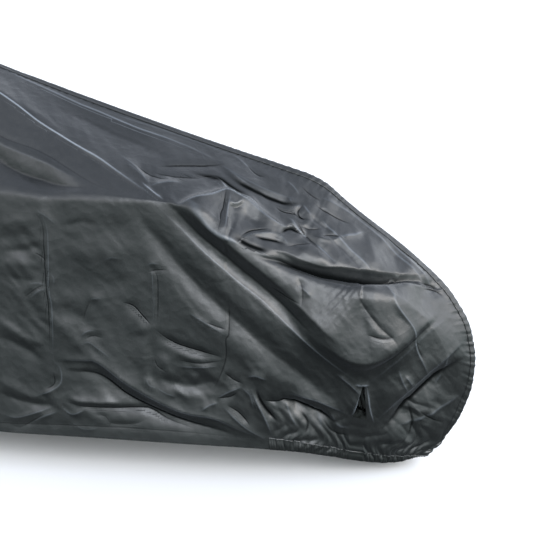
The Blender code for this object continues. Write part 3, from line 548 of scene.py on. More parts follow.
    Fold("wave three", -3, 17, 20, 1.6, 0, ((123, -652), (198, -655), (267, -659))),
    Fold("wave four", 3.6, 17, 17, 1.6, 0, ((81, -774), (143, -806), (199, -835), (264, -851))),
    Fold("wave five", -4.2, 14, 28, 1.6, 0, ((77, -824), (140, -849), (202, -875), (255, -902))),
    Fold("wave six", 3.6, 17, 17, 1.5, 0, ((73, -956), (130, -989), (193, -1015), (257, -1021))),
    Fold("wave seven", -3.6, 8, 20, 1.3, 0, ((70, -1001), (134, -1027), (211, -1039), (282, -1038))),
    Fold("wave eight", 2.4, 17, 17, 1.6, 0, ((116, -494), (179, -485), (254, -469))),
    Fold("wave nine", -2.4, 17, 17, 1.6, 0, ((112, -536), (182, -526), (263, -521))),
    Fold("small branch one", 2.2, 8, 8, 1, 0.09, ((210, -666), (242, -661), (272, -668))),
    Fold("small branch two", 2.2, 8, 8, 1, 0.09, ((213, -708), (246, -682), (272, -680))),
    Fold("small branch three", -1.9, 8, 8, 1, -0.35, ((188, -716), (228, -683), (266, -662))),
    Fold("small branch four", 1.9, 8, 8, 1, 0.07, ((243, -446), (279, -462), (314, -489))),
    Fold("small branch five", -1.9, 8, 8, 1, -0.35, ((232, -570), (253, -580), (274, -596))),
    Fold("small branch six", 1.9, 8, 8, 1, 0.07, ((281, -626), (292, -643), (288, -667))),
    Fold("light facet", 4.2, 34, 25, 1.5, 0, ((286, -751), (327, -803), (391, -871))),
    Fold("hollow right of the facet", -3, 22, 22, 1.6, 0, ((294, -720), (366, -757), (420, -795))),
    Fold("crumple on the facet one", 2.2, 7, 7, 1, 0.09, ((363, -812), (389, -794), (417, -792))),
    Fold("crumple on the facet two", 2.2, 7, 7, 1, 0.09,
         ((359, -843), (387, -828), (418, -844), (465, -876))),
    Fold("crumple on the facet three", -1.9, 7, 7, 1, -0.35, ((375, -823), (401, -809), (438, -812))),
    Fold("crumple on the facet four", 1.9, 7, 7, 1, 0.07, ((394, -701), (425, -692), (443, -697))),
    Fold("crumple on the facet five", -1.9, 7, 7, 1, -0.35, ((372, -769), (386, -731), (400, -700))),
    Fold("second upright fold", 2.2, 8, 8, 1, 0.09, ((573, -576), (590, -604), (593, -686), (588, -760))),
    Fold("shade of the second upright fold", -2.2, 8, 8, 1, -0.5,
         ((585, -593), (605, -615), (605, -685), (600, -762))),
    Fold("curved lap", -3.6, 8, 17, 1, -0.85, ((494, -699), (530, -708), (559, -736), (588, -766))),
    Fold("swell left of the curved lap", 3.6, 25, 25, 1.6, 0, ((514, -727), (549, -760), (566, -801))),
    Fold("foot of the upright fold", 4.8, 17, 22, 1.4, 0,
         ((576, -776), (561, -837), (562, -913), (590, -981))),
    Fold("shade right of the foot", -3.7, 14, 11, 1.2, 0,
         ((590, -781), (579, -842), (580, -909), (603, -962))),
    Fold("end crumple one", 2.2, 8, 8, 1, 0.09, ((562, -916), (573, -940), (597, -950))),
    Fold("end crumple two", -2.2, 8, 8, 1, -0.42, ((588, -853), (599, -882), (629, -898))),
    Fold("end crumple three", 2.6, 8, 8, 1, 0.1, ((591, -944), (621, -960), (657, -969))),
    Fold("crumple of the upright fold one", 2.2, 7, 7, 1, 0.09, ((573, -588), (591, -578), (614, -579))),
    Fold("crumple of the upright fold two", -2.2, 7, 7, 1, -0.42, ((578, -605), (602, -598), (637, -595))),
    Fold("crumple of the upright fold three", 1.9, 7, 7, 1, 0.07, ((448, -579), (473, -569), (496, -573))),
    Fold("soft wave of the wall one", 3, 34, 34, 2, 0, ((310, -559), (407, -558), (557, -532))),
    Fold("soft wave of the wall two", -3, 34, 34, 2, 0, ((303, -678), (409, -646), (554, -636))),
    Fold("soft wave of the wall three", 2.4, 34, 28, 2, 0, ((321, -477), (442, -447), (561, -440))),
    Fold("ripple by the corner one", -2.2, 11, 11, 1.2, 0, ((320, -494), (381, -473), (441, -481))),
    Fold("dark slope below the facet", -3, 45, 45, 2, 0, ((324, -964), (418, -974), (510, -983))),
)
FAR_FOLDS = (
    Fold("ridge to the slot", 14, 22, 26, 1.1, 0, ((800, -430), (900, -520), (1010, -640), (1200, -800))),
    Fold("second ridge to the slot", 14, 26, 30, 1.3, 0, ((740, -540), (960, -760), (1170, -890))),
    Fold("trough between the ridges", -10, 20, 20, 1.5, 0, ((760, -480), (980, -690), (1185, -845))),
    Fold("valley behind the shoulder", -26, 45, 30, 1.8, 0, ((960, -440), (1140, -520), (1360, -590))),
    Fold("recess below the band", -30, 22, 60, 1.5, 0, ((1240, -960), (1340, -860), (1440, -790))),
    Fold("long overhang of the wall", 14, 45, 12, 1.1, 0,
         ((250, -640), (400, -730), (560, -840), (900, -960))),
    Fold("hollow of the wall", -14, 60, 60, 2, 0, ((-50, -700), (150, -800), (350, -900))),
)
PATCHES = (
    Patch("over the casing left of the slot", 1.00, -0.99, 0.15, 0.055, 0.1, 0.0036, 0.034),
    Patch("pockets above the hem", 0.33, -1.03, 0.22, 0.050, 0.05, 0.0030, 0.040),
    Patch("beside the wedge", 1.02, -0.36, 0.13, 0.060, -0.6, 0.0017, 0.030),
    Patch("fan below the tent ridge", 0.60, -0.36, 0.10, 0.05, -0.6, 0.0020, 0.022),
    Patch("near corner", 0.86, -0.46, 0.10, 0.06, -0.3, 0.0015, 0.030),
    Patch("foot of the wall", 0.66, -0.93, 0.20, 0.10, 0.2, 0.0023, 0.048),
    Patch("left of the first upright fold", 0.20, -0.70, 0.10, 0.20, 0.1, 0.0026, 0.040),
    Patch("under the taut band", 1.35, -0.96, 0.11, 0.10, 0.8, 0.0030, 0.040),
    Patch("along the wheel end's seam", 1.40, -0.62, 0.10, 0.20, 0.9, 0.0010, 0.026),
)

SKY_SIDEWAYS = 0.4        # how much brighter the sky is towards +X, and dimmer towards -X
# Colour of the sky by the height of a direction: 0 straight down, 0.5 the horizon, 1 straight up
SKY_STOPS = (
    SkyStop(0.00, (0.010, 0.011, 0.010)),
    SkyStop(0.24, (0.030, 0.033, 0.030)),
    SkyStop(0.38, (0.222, 0.266, 0.263)),
    SkyStop(0.50, (0.408, 0.458, 0.463)),
    SkyStop(0.60, (0.700, 0.730, 0.750)),
    SkyStop(0.68, (0.990, 1.030, 1.090)),
    SkyStop(0.78, (0.870, 0.915, 1.000)),
    SkyStop(0.90, (0.370, 0.400, 0.470)),
    SkyStop(0.96, (0.280, 0.308, 0.370)),
    SkyStop(1.00, (0.190, 0.208, 0.250)),
)


def lengths_along(points):
    """How far along a row of points each of them lies."""
    return np.append(0.0, np.cumsum(np.linalg.norm(np.diff(points, axis=0), axis=-1)))


def points_at(places, run, points):
    """Points at the given places of a row of points that lie at run."""
    return np.stack([np.interp(places, run, points[:, k]) for k in range(3)], axis=-1)


def between(values, low, high):
    """Which of the values lie from low to high, both included."""
    return (values >= low - EDGE_ROOM) & (values <= high + EDGE_ROOM)


def in_metres(fold):
    """A fold of the tables, whose sizes are in millimetres, in metres."""
    return fold._replace(height=fold.height / 1000, left=fold.left / 1000, right=fold.right / 1000,
                         route=np.array(fold.route) / 1000)


def guide_points(line, stations):
    """Points of a guide line at the given stations, its corners slightly rounded."""
    marks = np.array(line)
    reach = np.minimum(stations - FIRST_STATION, LAST_STATION - stations)
    reach = np.minimum(STATION_ROUNDING, reach)
    places = [stations + reach * share for share in ROUNDING_SHARES]
    axes = [np.mean([np.interp(p, marks[:, 0], marks[:, k]) for p in places], axis=0) for k in (1, 2, 3)]
    return np.stack(axes, axis=-1)


def smooth_form(stations, levels):
    """The near panel's surface without its folds."""
    guides = np.stack([guide_points(line, stations) for line in GUIDE_LINES])
    reach = np.minimum(LEVEL_ROUNDING, np.minimum(levels - HEM_LEVEL, SEAM_LEVEL - levels))
    total = np.zeros(stations.shape + (3,))
    for share in ROUNDING_SHARES:
        place = levels + reach * share
        lower = np.clip(np.floor(place).astype(int), HEM_LEVEL, SEAM_LEVEL - 1)
        part = (place - lower)[..., None]
        below = np.take_along_axis(guides, lower[None, ..., None], axis=0)[0]
        above = np.take_along_axis(guides, lower[None, ..., None] + 1, axis=0)[0]
        total += below * (1 - part) + above * part
    return total / len(ROUNDING_SHARES)


def form_normals(stations, levels):
    """Unit normals of the smooth form, pointing out of the cover."""
    along = smooth_form(np.minimum(stations + NORMAL_STEP, LAST_STATION), levels)
    along -= smooth_form(np.maximum(stations - NORMAL_STEP, FIRST_STATION), levels)
    up = smooth_form(stations, np.minimum(levels + NORMAL_STEP, SEAM_LEVEL))
    up -= smooth_form(stations, np.maximum(levels - NORMAL_STEP, HEM_LEVEL))
    normals = np.cross(along, up)
    return normals / np.linalg.norm(normals, axis=-1, keepdims=True)


def seen_on_centre_plane(points):
    """Where the sight lines from the eye point to the points cross the centre plane."""
    share = EYE[1] / (EYE[1] - points[..., 1])
    return np.stack([EYE[k] + (points[..., k] - EYE[k]) * share for k in (0, 2)], axis=-1)


def smooth_route(route):
    """A fold's route as a smooth curve through its marks."""
    marks = np.array(route)
    marks = np.concatenate([2 * marks[:1] - marks[1:2], marks, 2 * marks[-1:] - marks[-2:-1]])
    t = (np.arange(ROUTE_STEPS) / ROUTE_STEPS)[:, None]
    points = []
    for a, b, c, d in zip(marks[:-3], marks[1:-2], marks[2:-1], marks[3:]):
        points.append(0.5 * (2 * b + (c - a) * t + (2 * a - 5 * b + 4 * c - d) * t ** 2
                             + (3 * b - a - 3 * c + d) * t ** 3))
    return np.concatenate(points + [marks[-2:-1]])


def least_gap(path, others):
    """Least distance from a path's points to those of other paths, and at most 1 m."""
    return min([np.linalg.norm(path[:, None] - other, axis=-1).min() for other in others] + [1.0])


def crease_layers(folds):
    """For each fold, a layer in which no other crease's painted line comes close to its own, if there is one.
    """
    held = [[] for _ in range(CREASE_LAYERS)]
    layers = []
    for fold in folds:
        layer = 0
        if fold.worn:
            path = smooth_route(fold.route)[::2]
            room = [least_gap(path, others) for others in held]
            free = [k for k, gap in enumerate(room) if gap > 2 * CREASE_REACH]
            layer = free[0] if free else int(np.argmax(room))
            held[layer].append(path)
        layers.append(layer)
    return layers


def add_fold(fold, places, relief, crease):
    """Add one fold's height to the relief, and note each place's distance from its painted crease line.

    The fold fades at its two ends. The crease holds signed distances, as a share of half its line's
    width, and then the strength of its painted highlight, or below 0 of its painted shade."""
    path = smooth_route(fold.route)
    reach = FOLD_REACH * max(fold.left, fold.right)
    close = ((places > path.min(0) - reach) & (places < path.max(0) + reach)).all(-1)
    spots = places[close]
    if not len(spots):
        return
    run = path[1:] - path[:-1]
    offset = spots[:, None, :] - path[:-1]
    share = np.clip((offset * run).sum(-1) / (run ** 2).sum(-1), 0.0, 1.0)
    away = offset - share[..., None] * run
    distance = np.linalg.norm(away, axis=-1)
    nearest = distance.argmin(-1)
    row = np.arange(len(spots))
    distance = distance[row, nearest]
    side = run[nearest, 0] * away[row, nearest, 1] - run[nearest, 1] * away[row, nearest, 0]
    lengths = np.linalg.norm(run, axis=-1)
    before = np.append(0.0, np.cumsum(lengths))
    along = (before[nearest] + share[row, nearest] * lengths[nearest]) / before[-1]
    ends = np.clip(np.minimum(along, 1 - along) / FOLD_TAPER, 0.0, 1.0)
    ends = ends * ends * (3 - 2 * ends)
    width = np.where(side > 0, fold.left, fold.right) * (TAPERED_WIDTH + (1 - TAPERED_WIDTH) * ends)
    rounded = np.sqrt(distance ** 2 + CREST_RADIUS ** 2) - CREST_RADIUS
    relief[close] += fold.height * ends * np.exp(-(rounded / width) ** fold.crisp)
    if fold.worn:
        line = max(CREASE_LINE, CREASE_SHARE * min(fold.left, fold.right))
        if fold.worn <= DEEP_SHADE:
            line = min(2.0 * line, CREASE_REACH)
        old = crease[0][close]
        nearer = distance / line < np.abs(old)
        # its painted line fades out over the last third of its reach
        worn = fold.worn * ends * np.clip(3.0 * (1.0 - distance / CREASE_REACH), 0.0, 1.0)
        crease[0][close] = np.where(nearer, np.where(side > 0, distance, -distance) / line, old)
        crease[1][close] = np.where(nearer, worn, crease[1][close])


def facets(places, size, seed):
    """Crumpled facets between -1 and 1: uneven triangles that meet in sharp creases."""
    heights = np.random.default_rng(seed).uniform(-1.0, 1.0, (FACET_GRID, FACET_GRID))
    warp = 0.35 * size
    x = places[..., 0] + warp * np.sin(places[..., 1] / (0.9 * size) + seed)
    z = places[..., 1] + warp * np.sin(places[..., 0] / (1.1 * size) + 2.0 * seed)
    u, v = x / size, z / size + 0.5 * x / size
    i, j = np.floor(u).astype(int), np.floor(v).astype(int)
    a, b = u - i, v - j
    corner = {(p, q): heights[(i + p) % FACET_GRID, (j + q) % FACET_GRID] for p in (0, 1) for q in (0, 1)}
    low = corner[0, 0] + a * (corner[1, 0] - corner[0, 0]) + b * (corner[0, 1] - corner[0, 0])
    high = corner[1, 1] + (1 - a) * (corner[0, 1] - corner[1, 1]) + (1 - b) * (corner[1, 0] - corner[1, 1])
    return np.where(a + b < 1, low, high)


def patch_relief(patch, places, seed):
    """A crumpled place of the cloth, fading out round its rim."""
    dx, dz = places[..., 0] - patch.x, places[..., 1] - patch.z
    c, s = np.cos(patch.turn), np.sin(patch.turn)
    a, b = (dx * c + dz * s) / patch.half_x, (dz * c - dx * s) / patch.half_z
    fade = np.clip(1.25 - np.sqrt(a * a + b * b), 0.0, 1.0)
    turned = np.stack([a * patch.half_x, b * patch.half_z], axis=-1)
    coarse = facets(turned, patch.size, seed)
    fine = facets(turned, FINE_FACETS * patch.size, seed + 1)
    return patch.height * fade * (coarse + 0.4 * fine)


def slot_half_width(levels):
    """Half the slot's width in stations, which grows towards its foot."""
    drop = np.clip((SLOT_TOP - levels) / (SLOT_TOP - SLOT_BOTTOM), 0.0, 1.0)
    return SLOT_TOP_HALF + (SLOT_BOTTOM_HALF - SLOT_TOP_HALF) * drop


def slot_lip(stations, levels):
    """How far the slot's two edges are pulled outwards."""
    middle = 0.5 * (SLOT_TOP + SLOT_BOTTOM)
    inside = np.clip(1 - np.abs(levels - middle) / SLOT_LIP_LEVELS, 0.0, 1.0)
    away = np.maximum(np.abs(stations - SLOT_STATION) - slot_half_width(levels), 0.0)
    return SLOT_LIP * inside * np.exp(-(away / SLOT_LIP_STATIONS) ** 2)


def gathers(points, stations, sizes):
    """Small folds that the elastic draws into the cloth above it."""
    past_hem = np.maximum(stations - FLAT_HEM_END, FLAT_HEM_START - stations)
    held = np.clip(past_hem / RUFFLE_START, 0.0, 1.0)
    hem = points[:, :1]
    along = lengths_along(hem[:, 0])[:, None]
    height = np.linalg.norm(points - hem, axis=-1)
    # the ruffles wander to and fro a little
    wander = 0.006 * np.sin(along / 0.031) + 0.012 * np.sin(height / 0.019 + along / 0.05)
    fine = np.abs(np.sin(np.pi * (along + wander) / sizes.ruffle_pitch)) - 0.5
    wide = np.abs(np.sin(np.pi * (along + 2 * wander) / (WIDE_RUFFLE * sizes.ruffle_pitch))) - 0.5
    # the casing holds the cloth's foot nearly straight
    loose = 1.0 - CASING_HOLD * np.exp(-(height / CASING_HOLD_HEIGHT) ** 2)
    fine *= np.exp(-(height / FINE_RUFFLE_HEIGHT) ** 2) * loose
    wide *= np.exp(-(height / WIDE_RUFFLE_HEIGHT) ** 1.5) * loose
    return held * sizes.ruffle_height * (1.2 * fine + 1.5 * wide)


def puckers(points, sizes):
    """Little gathers that the centre seam's thread draws into the cloth beside it."""
    seam = points[:, -1:]
    along = lengths_along(seam[:, 0])[:, None]
    away = np.linalg.norm(points - seam, axis=-1)
    turn = 2 * np.pi * (along + 0.5 * away + 0.004 * np.sin(along / 0.043)) / sizes.pucker_pitch
    wave = np.sin(turn) + 0.6 * np.sin(turn / SECOND_PUCKER + 1.0)
    strength = 0.6 + 0.4 * np.sin(along / 0.11)
    return sizes.pucker_height * strength * wave * np.exp(-(away / PUCKER_REACH) ** 2)


def panel_surface(stations, levels, folds, patches, sizes, far):
    """The cloth of one side with its folds, mirrored for the far side."""
    points = smooth_form(stations, levels)
    places = points[..., (0, 2)] if far else seen_on_centre_plane(points)
    relief = np.zeros(stations.shape)
    creases = np.zeros((CREASE_LAYERS, 2) + stations.shape)
    creases[:, 0] = CREASE_REACH / CREASE_LINE
    for fold, layer in zip(folds, crease_layers(folds)):
        add_fold(fold, places, relief, creases[layer])
    relief *= sizes.fold_strength
    seed = FAR_SEED if far else NEAR_SEED
    for k, patch in enumerate(patches):
        relief += patch_relief(patch, places, seed + 3 * k)
    for k, (size, share) in enumerate(CRUMPLES, 1):
        relief += sizes.crumple_height * share * facets(places, size, seed + k)
    fade = np.clip((SEAM_LEVEL - levels) / SEAM_FADE, 0.0, 1.0)
    fade *= np.clip(HEM_SHARE + levels / HEM_FADE, 0.0, 1.0)
    fade *= np.clip(np.minimum(LAST_STATION - stations, stations - FIRST_STATION) / END_FADE, 0.0, 1.0)
    relief = relief * fade + slot_lip(stations, levels)
    relief += gathers(points, stations, sizes) + puckers(points, sizes)
    points = points + form_normals(stations, levels) * relief[..., None]
    points[..., 1] = np.minimum(points[..., 1], -LEAST_OUT)
    points = with_noses(points)
    if far:
        points[..., 1] *= -1
    creases[:, 1] *= fade
    nose = len(NOSE_TURNS)
    return points, np.pad(creases, ((0, 0), (0, 0), (nose, nose), (0, 0)), mode="edge")


def with_noses(points):
    """The grid with some more columns at both ends, which turn round to the centre plane."""
    noses = []
    for end, direction in ((0, -1), (-1, 1)):
        x, radius, z = points[end, :, 0], -points[end, :, 1], points[end, :, 2]
        noses.append([np.stack([x + direction * radius * np.sin(turn), -radius * np.cos(turn), z], axis=-1)
                      for turn in NOSE_TURNS])
    return np.concatenate([np.array(noses[0])[::-1], points, np.array(noses[1])])


def with_ends(values):
    """The stations or levels of the columns that with_noses adds."""
    steps = (np.arange(len(NOSE_TURNS)) + 1.0) * NOSE_STEP
    return values[:1] - steps[::-1, None], values[-1:] + steps[:, None]


def grid_normals(points, far):
    """Unit normals of a grid of points, pointing out of the cover."""
    normals = np.cross(np.gradient(points, axis=0), np.gradient(points, axis=1))
    normals /= np.linalg.norm(normals, axis=-1, keepdims=True) + 1e-12
    return -normals if far else normals


def grid_values(spans, edges):
    """Values of a grid's spans, (from, to, count) each, with the nearest one moved onto each edge."""
    values = [np.linspace(low, high, count, endpoint=False) for low, high, count in spans]
    values = np.append(np.concatenate(values), spans[-1][1])
    for edge in edges:
        values[np.abs(values - edge).argmin()] = edge
    return values


def make_grid(sizes, folds, patches, far, columns, rows):
    """One side's cloth, with two of its grid's columns on the slot's edges."""
    base = grid_values(columns, (FLAT_HEM_START, FLAT_HEM_END))
    levels = grid_values(rows, (HEM_TOP_LEVEL, SLOT_BOTTOM, SLOT_TOP))
    # the two columns beside the slot's middle become its edges
    away = np.abs(base - SLOT_STATION)
    pair = np.argsort(away)[:2]
    first = pair.min()
    base[first], base[first + 1] = SLOT_STATION - away[pair].mean(), SLOT_STATION + away[pair].mean()
    stations, levels = np.meshgrid(base, levels, indexing="ij")
    least = np.abs(base[first] - SLOT_STATION)
    half = slot_half_width(levels)
    offset = stations - SLOT_STATION
    share = (np.abs(offset) - least) / (DRAWN_HALF - least)
    drawn = SLOT_STATION + np.sign(offset) * (half + share * (DRAWN_HALF - half))
    stations = np.where(np.abs(offset) < DRAWN_HALF, drawn, stations)
    points, creases = panel_surface(stations, levels, folds, patches, sizes, far)
    before, after = with_ends(stations)
    stations = np.concatenate([before, stations, after])
    levels = np.concatenate([levels[:len(before)], levels, levels[:len(after)]])
    return Panel(stations, levels, points, grid_normals(points, far), creases, far, first + len(before))


def kept_cells(panel):
    """Cells of the grid that are cloth: not the slot, and not below the casing's top edge."""
    level = 0.5 * (panel.levels[:-1, :-1] + panel.levels[:-1, 1:])
    station = 0.5 * (panel.stations[:-1, :-1] + panel.stations[1:, :-1])
    cells = (level > HEM_TOP_LEVEL) | ((station > FLAT_HEM_START) & (station < FLAT_HEM_END))
    slot_levels = level[panel.slot_column]
    cells[panel.slot_column] &= (slot_levels < SLOT_BOTTOM) | (slot_levels > SLOT_TOP)
    return cells


def grid_faces(cells, columns_first, start=0):
    """Corner numbers of the kept cells of a grid whose points are numbered from start."""
    c, r = np.nonzero(cells)
    rows = cells.shape[1] + 1
    a = start + c * rows + r
    quad = np.stack([a, a + rows, a + rows + 1, a + 1], axis=1)
    return quad if columns_first else quad[:, ::-1]


def add_piece(name, points, faces, material, uv=None, creases=None):
    """Make a smooth mesh object from points, faces and, where given, flat places and the creases' painted
    lines of highlight and shade.
    """
    shape = np.shape(faces)
    used, faces = np.unique(np.asarray(faces), return_inverse=True)
    faces = faces.reshape(shape)
    mesh = bpy.data.meshes.new(name)
    mesh.from_pydata(points[used].tolist(), [], faces.tolist())
    mesh.materials.append(material)
    if uv is not None:
        layer = mesh.uv_layers.new(name=FLAT_MAP)
        corners = np.empty(len(mesh.loops), dtype=np.int32)
        mesh.loops.foreach_get("vertex_index", corners)
        layer.data.foreach_set("uv", uv[used][corners].astype(np.float32).ravel())
    if creases is not None:
        for k, values in enumerate(creases):
            for part, value in zip(("place", "worn"), values):
                layer = mesh.attributes.new(f"crease_{k}_{part}", "FLOAT", "POINT")
                layer.data.foreach_set("value", value[used].astype(np.float32))
    mesh.shade_smooth()
    mesh.validate()
    mesh.update()
    piece = bpy.data.objects.new(name, mesh)
    bpy.context.scene.collection.objects.link(piece)
    return piece


def flat_places(points):
    """Where a grid's points lie on the flat cloth, in metres: along the cover, then up it."""
    along = np.linalg.norm(np.diff(points, axis=0), axis=-1).mean(axis=1)
    up = np.linalg.norm(np.diff(points, axis=1), axis=-1).mean(axis=0)
    u, v = np.append(0.0, np.cumsum(along)), np.append(0.0, np.cumsum(up))
    return np.stack(np.meshgrid(u, v, indexing="ij"), axis=-1)


def turned_edge(edge, out, inward, width, depth):
    """Rows of points that fold an edge over to the inside and run back along it for a width."""
    rows = [edge]
    for angle in np.linspace(0, np.pi, TURN_CORNERS)[1:]:
        rows.append(edge - 0.5 * depth * (inward * np.sin(angle) + out * (1 - np.cos(angle))))
    for share in np.linspace(0, 1, TURN_ROWS)[1:]:
        rows.append(edge - out * depth + inward * width * share)
    return np.stack(rows, axis=1)


def unit(vectors):
    """The vectors at a length of 1."""
    return vectors / (np.linalg.norm(vectors, axis=-1, keepdims=True) + 1e-12)


def cloth_side(name, sizes, folds, patches, far, columns, rows, material):
    """One side of the cover as a sheet of cloth, its hem and its slot's edges turned in."""
    panel = make_grid(sizes, [in_metres(fold) for fold in folds], patches, far, columns, rows)
    points = [panel.points.reshape(-1, 3)]
    places = [flat_places(panel.points).reshape(-1, 2)]
    faces = [grid_faces(kept_cells(panel), not far)]
    count = len(points[0])

    def add_turned_edge(at, beside, width, flip):
        nonlocal count
        edge = panel.points[at]
        inward = unit(panel.points[beside] - edge)
        strip = turned_edge(edge, panel.normals[at], inward, width, sizes.hem_turn)
        n, m = strip.shape[:2]
        points.append(strip.reshape(-1, 3))
        places.append(flat_places(strip).reshape(-1, 2))
        faces.append(grid_faces(np.ones((n - 1, m - 1), bool), flip, count))
        count += n * m

    hem = between(panel.stations[:, 0], FLAT_HEM_START, FLAT_HEM_END)
    add_turned_edge((hem, 0), (hem, HEM_ROWS), sizes.hem_depth, far)
    in_slot = between(panel.levels[0], SLOT_BOTTOM, SLOT_TOP)
    left, right = panel.slot_column, panel.slot_column + 1
    add_turned_edge((left, in_slot), (left - BESIDE_SLOT, in_slot), SLOT_HEM, far)
    add_turned_edge((right, in_slot), (right + BESIDE_SLOT, in_slot), SLOT_HEM, not far)
    creases = panel.creases.reshape(CREASE_LAYERS, 2, -1)
    creases = np.pad(creases, ((0, 0), (0, 0), (0, count - creases.shape[-1])))
    piece = add_piece(name, np.concatenate(points), np.concatenate(faces), material,
                      np.concatenate(places), creases)
    return piece, panel


def casing_piece(name, near, far, wheel_end, sizes, material):
    """The elastic casing of one end as a closed, ruffled tube below both sides' cloth."""
    reach = (FLAT_HEM_END, np.inf) if wheel_end else (-np.inf, FLAT_HEM_START)
    rings = []
    for panel in (near, far):
        columns = np.nonzero(between(panel.stations[:, 0], *reach))[0]
        if wheel_end == panel.far:
            columns = columns[::-1]
        face = finer(panel.points[columns, :HEM_ROWS + 1])
        out = unit(finer(panel.normals[columns, :HEM_ROWS + 1]))
        up = unit(face[:, -1:] - face[:, :1])
        share = np.linspace(0.0, 1.0, HEM_ROWS + 1)[None, :, None]
        run = lengths_along(face[:, 0])[:, None, None]
        # fine gathers in the three channels between the elastic's rows of stitches
        slant = run + 0.0015 * np.sin(run / 0.019) + 0.002 * share
        gather = np.sin(2 * np.pi * slant / sizes.gather_pitch)
        gather += 0.5 * np.sin(2 * np.pi * slant / SECOND_GATHER_PITCH + 1.0)
        channels = np.abs(np.sin(3 * np.pi * share)) ** 0.6
        swell = sizes.casing_bulge * np.sin(np.pi * share)
        lift = swell * (0.55 + 0.45 * channels) + CASING_LIFT
        front = face + out * (lift + sizes.gather_height * gather * channels)
        lap = front[:, -1:] + up * CASING_LAP + out[:, -1:] * CASING_LAP_LIFT
        back = face - out * (0.6 * swell + sizes.casing_depth)
        # the far side's casing hangs a little lower
        hang = panel.far * FAR_HANG * np.sin(np.pi * np.linspace(0, 1, len(front)))[:, None, None] ** 0.5
        foot = [front[:, :1] - up * (drop + hang) - out[:, :1] * sizes.casing_depth * depth
                for drop, depth in CASING_FOOT]
        back_lap = back[:, -1:] + up * BACK_LAP
        rings.append(np.concatenate([lap, front[:, ::-1]] + foot + [back, back_lap], axis=1))
    return add_tube(name, np.concatenate(rings), material, flip=True)


def finer(points):
    """A grid of points with CASING_FINE times as many columns."""
    count = len(points)
    places = np.linspace(0, count - 1, CASING_FINE * (count - 1) + 1)
    lower = np.minimum(places.astype(int), count - 2)
    part = (places - lower)[:, None, None]
    return points[lower] * (1 - part) + points[lower + 1] * part


def add_tube(name, rings, material, flip=False):
    """Close a row of rings of points, each with an even number of them, into a capped tube."""
    count, around = rings.shape[:2]
    index = np.arange(count * around).reshape(count, around)
    right = np.roll(index, -1, axis=1)
    faces = [np.stack([index[:-1], index[1:], right[1:], right[:-1]], axis=-1).reshape(-1, 4)]
    half = np.arange(around // 2 - 1)
    for ring, forward in ((index[0], True), (index[-1], False)):
        cap = np.stack([ring[half], ring[half + 1], ring[around - 2 - half], ring[around - 1 - half]], axis=1)
        faces.append(cap if forward else cap[:, ::-1])
    faces = np.concatenate(faces)
    if flip:
        faces = faces[:, ::-1]
    return add_piece(name, rings.reshape(-1, 3), faces, material, flat_places(rings).reshape(-1, 2))


def down_from_seam(panel, stations, distances):
    """Points of a side's cloth at the given distances below the seam's edge, and their normals."""
    rows = panel.points[:, ::-1][:, :ROWS_BELOW_SEAM]
    here = panel.stations[:, -1]
    order = np.argsort(here)
    columns = np.stack([points_at(stations, here[order], rows[order, row])
                        for row in range(rows.shape[1])], axis=1)
    face = np.stack([points_at(distances, lengths_along(column), column) for column in columns])
    return face, grid_normals(face, not panel.far)


def seam_piece(name, near, far, sizes, material):
    """The centre seam as a closed strip that laps down both sides, with little puckers across it."""
    stations = np.linspace(FIRST_STATION + SEAM_END, LAST_STATION - SEAM_END, SEAM_COLUMNS)
    distances = np.linspace(0.0, sizes.seam_lap, SEAM_ROWS)
    near_face, near_out = down_from_seam(near, stations, distances)
    far_face, far_out = down_from_seam(far, stations, distances)
    run = lengths_along(near_face[:, 0])[:, None, None]
    across = distances[None, :, None]
    wave = np.sin(2 * np.pi * (run + 0.4 * across) / SEAM_PITCH)
    wave += 0.7 * np.sin(2 * np.pi * run / SECOND_SEAM_PITCH + 1.3)
    lift = SEAM_LIFT + SEAM_WAVE * wave * np.sin(np.pi * np.clip(across / sizes.seam_lap, 0, 1))
    layers = []
    for offset in (lift + SEAM_THICKNESS, lift * 0.4):
        near_row, far_row = near_face + near_out * offset, far_face + far_out * offset
        ridge = 0.5 * (near_row[:, :1] + far_row[:, :1])
        ridge[..., 1] = 0.0
        layers.append(np.concatenate([near_row[:, :0:-1], ridge, far_row[:, 1:]], axis=1))
    outer, inner = layers
    outer[:, SEAM_ROWS - 1] += unit(near_out[:, 0] + far_out[:, 0]) * SEAM_RIDGE
    return add_tube(name, np.concatenate([outer, inner[:, ::-1]], axis=1), material)


def track_on(panel, columns, rows, lift):
    """Points at a lift above a side's cloth, along some of its grid's columns or rows, and their normals."""
    normals = panel.normals[columns, rows]
    return panel.points[columns, rows] + normals * lift, normals


def stitch_piece(name, tracks, sizes, material):
    """Stitches along tracks of points and normals, as one mesh of small spindles."""
    scale = np.array((sizes.stitch_length, sizes.stitch_width, sizes.stitch_width * STITCH_FLATNESS))
    points, faces, count = [], [], 0
    for line, normals in tracks:
        run = lengths_along(line)
        middles = np.arange(0.5 * sizes.stitch_pitch, run[-1], sizes.stitch_pitch)
        ends = [points_at(middles + share * sizes.stitch_length, run, line) for share in (-0.4, 0.4)]
        along = unit(ends[1] - ends[0])
        side = unit(np.cross(unit(points_at(middles, run, normals)), along))
        frames = np.stack([along, side, np.cross(along, side)], axis=1)
        placed = 0.5 * (ends[0] + ends[1])[:, None] + (SPINDLE_POINTS * scale) @ frames
        points.append(placed.reshape(-1, 3))
        starts = count + len(SPINDLE_POINTS) * np.arange(len(middles))
        faces.append((starts[:, None, None] + SPINDLE_FACES).reshape(-1, 3))
        count += len(SPINDLE_POINTS) * len(middles)
    return add_piece(name, np.concatenate(points), np.concatenate(faces), material)


def feed(tree, socket, value):
    """Set a socket to a value, or link it where the value is another socket."""
    if isinstance(value, bpy.types.NodeSocket):
        tree.links.new(value, socket)
    else:
        socket.default_value = value


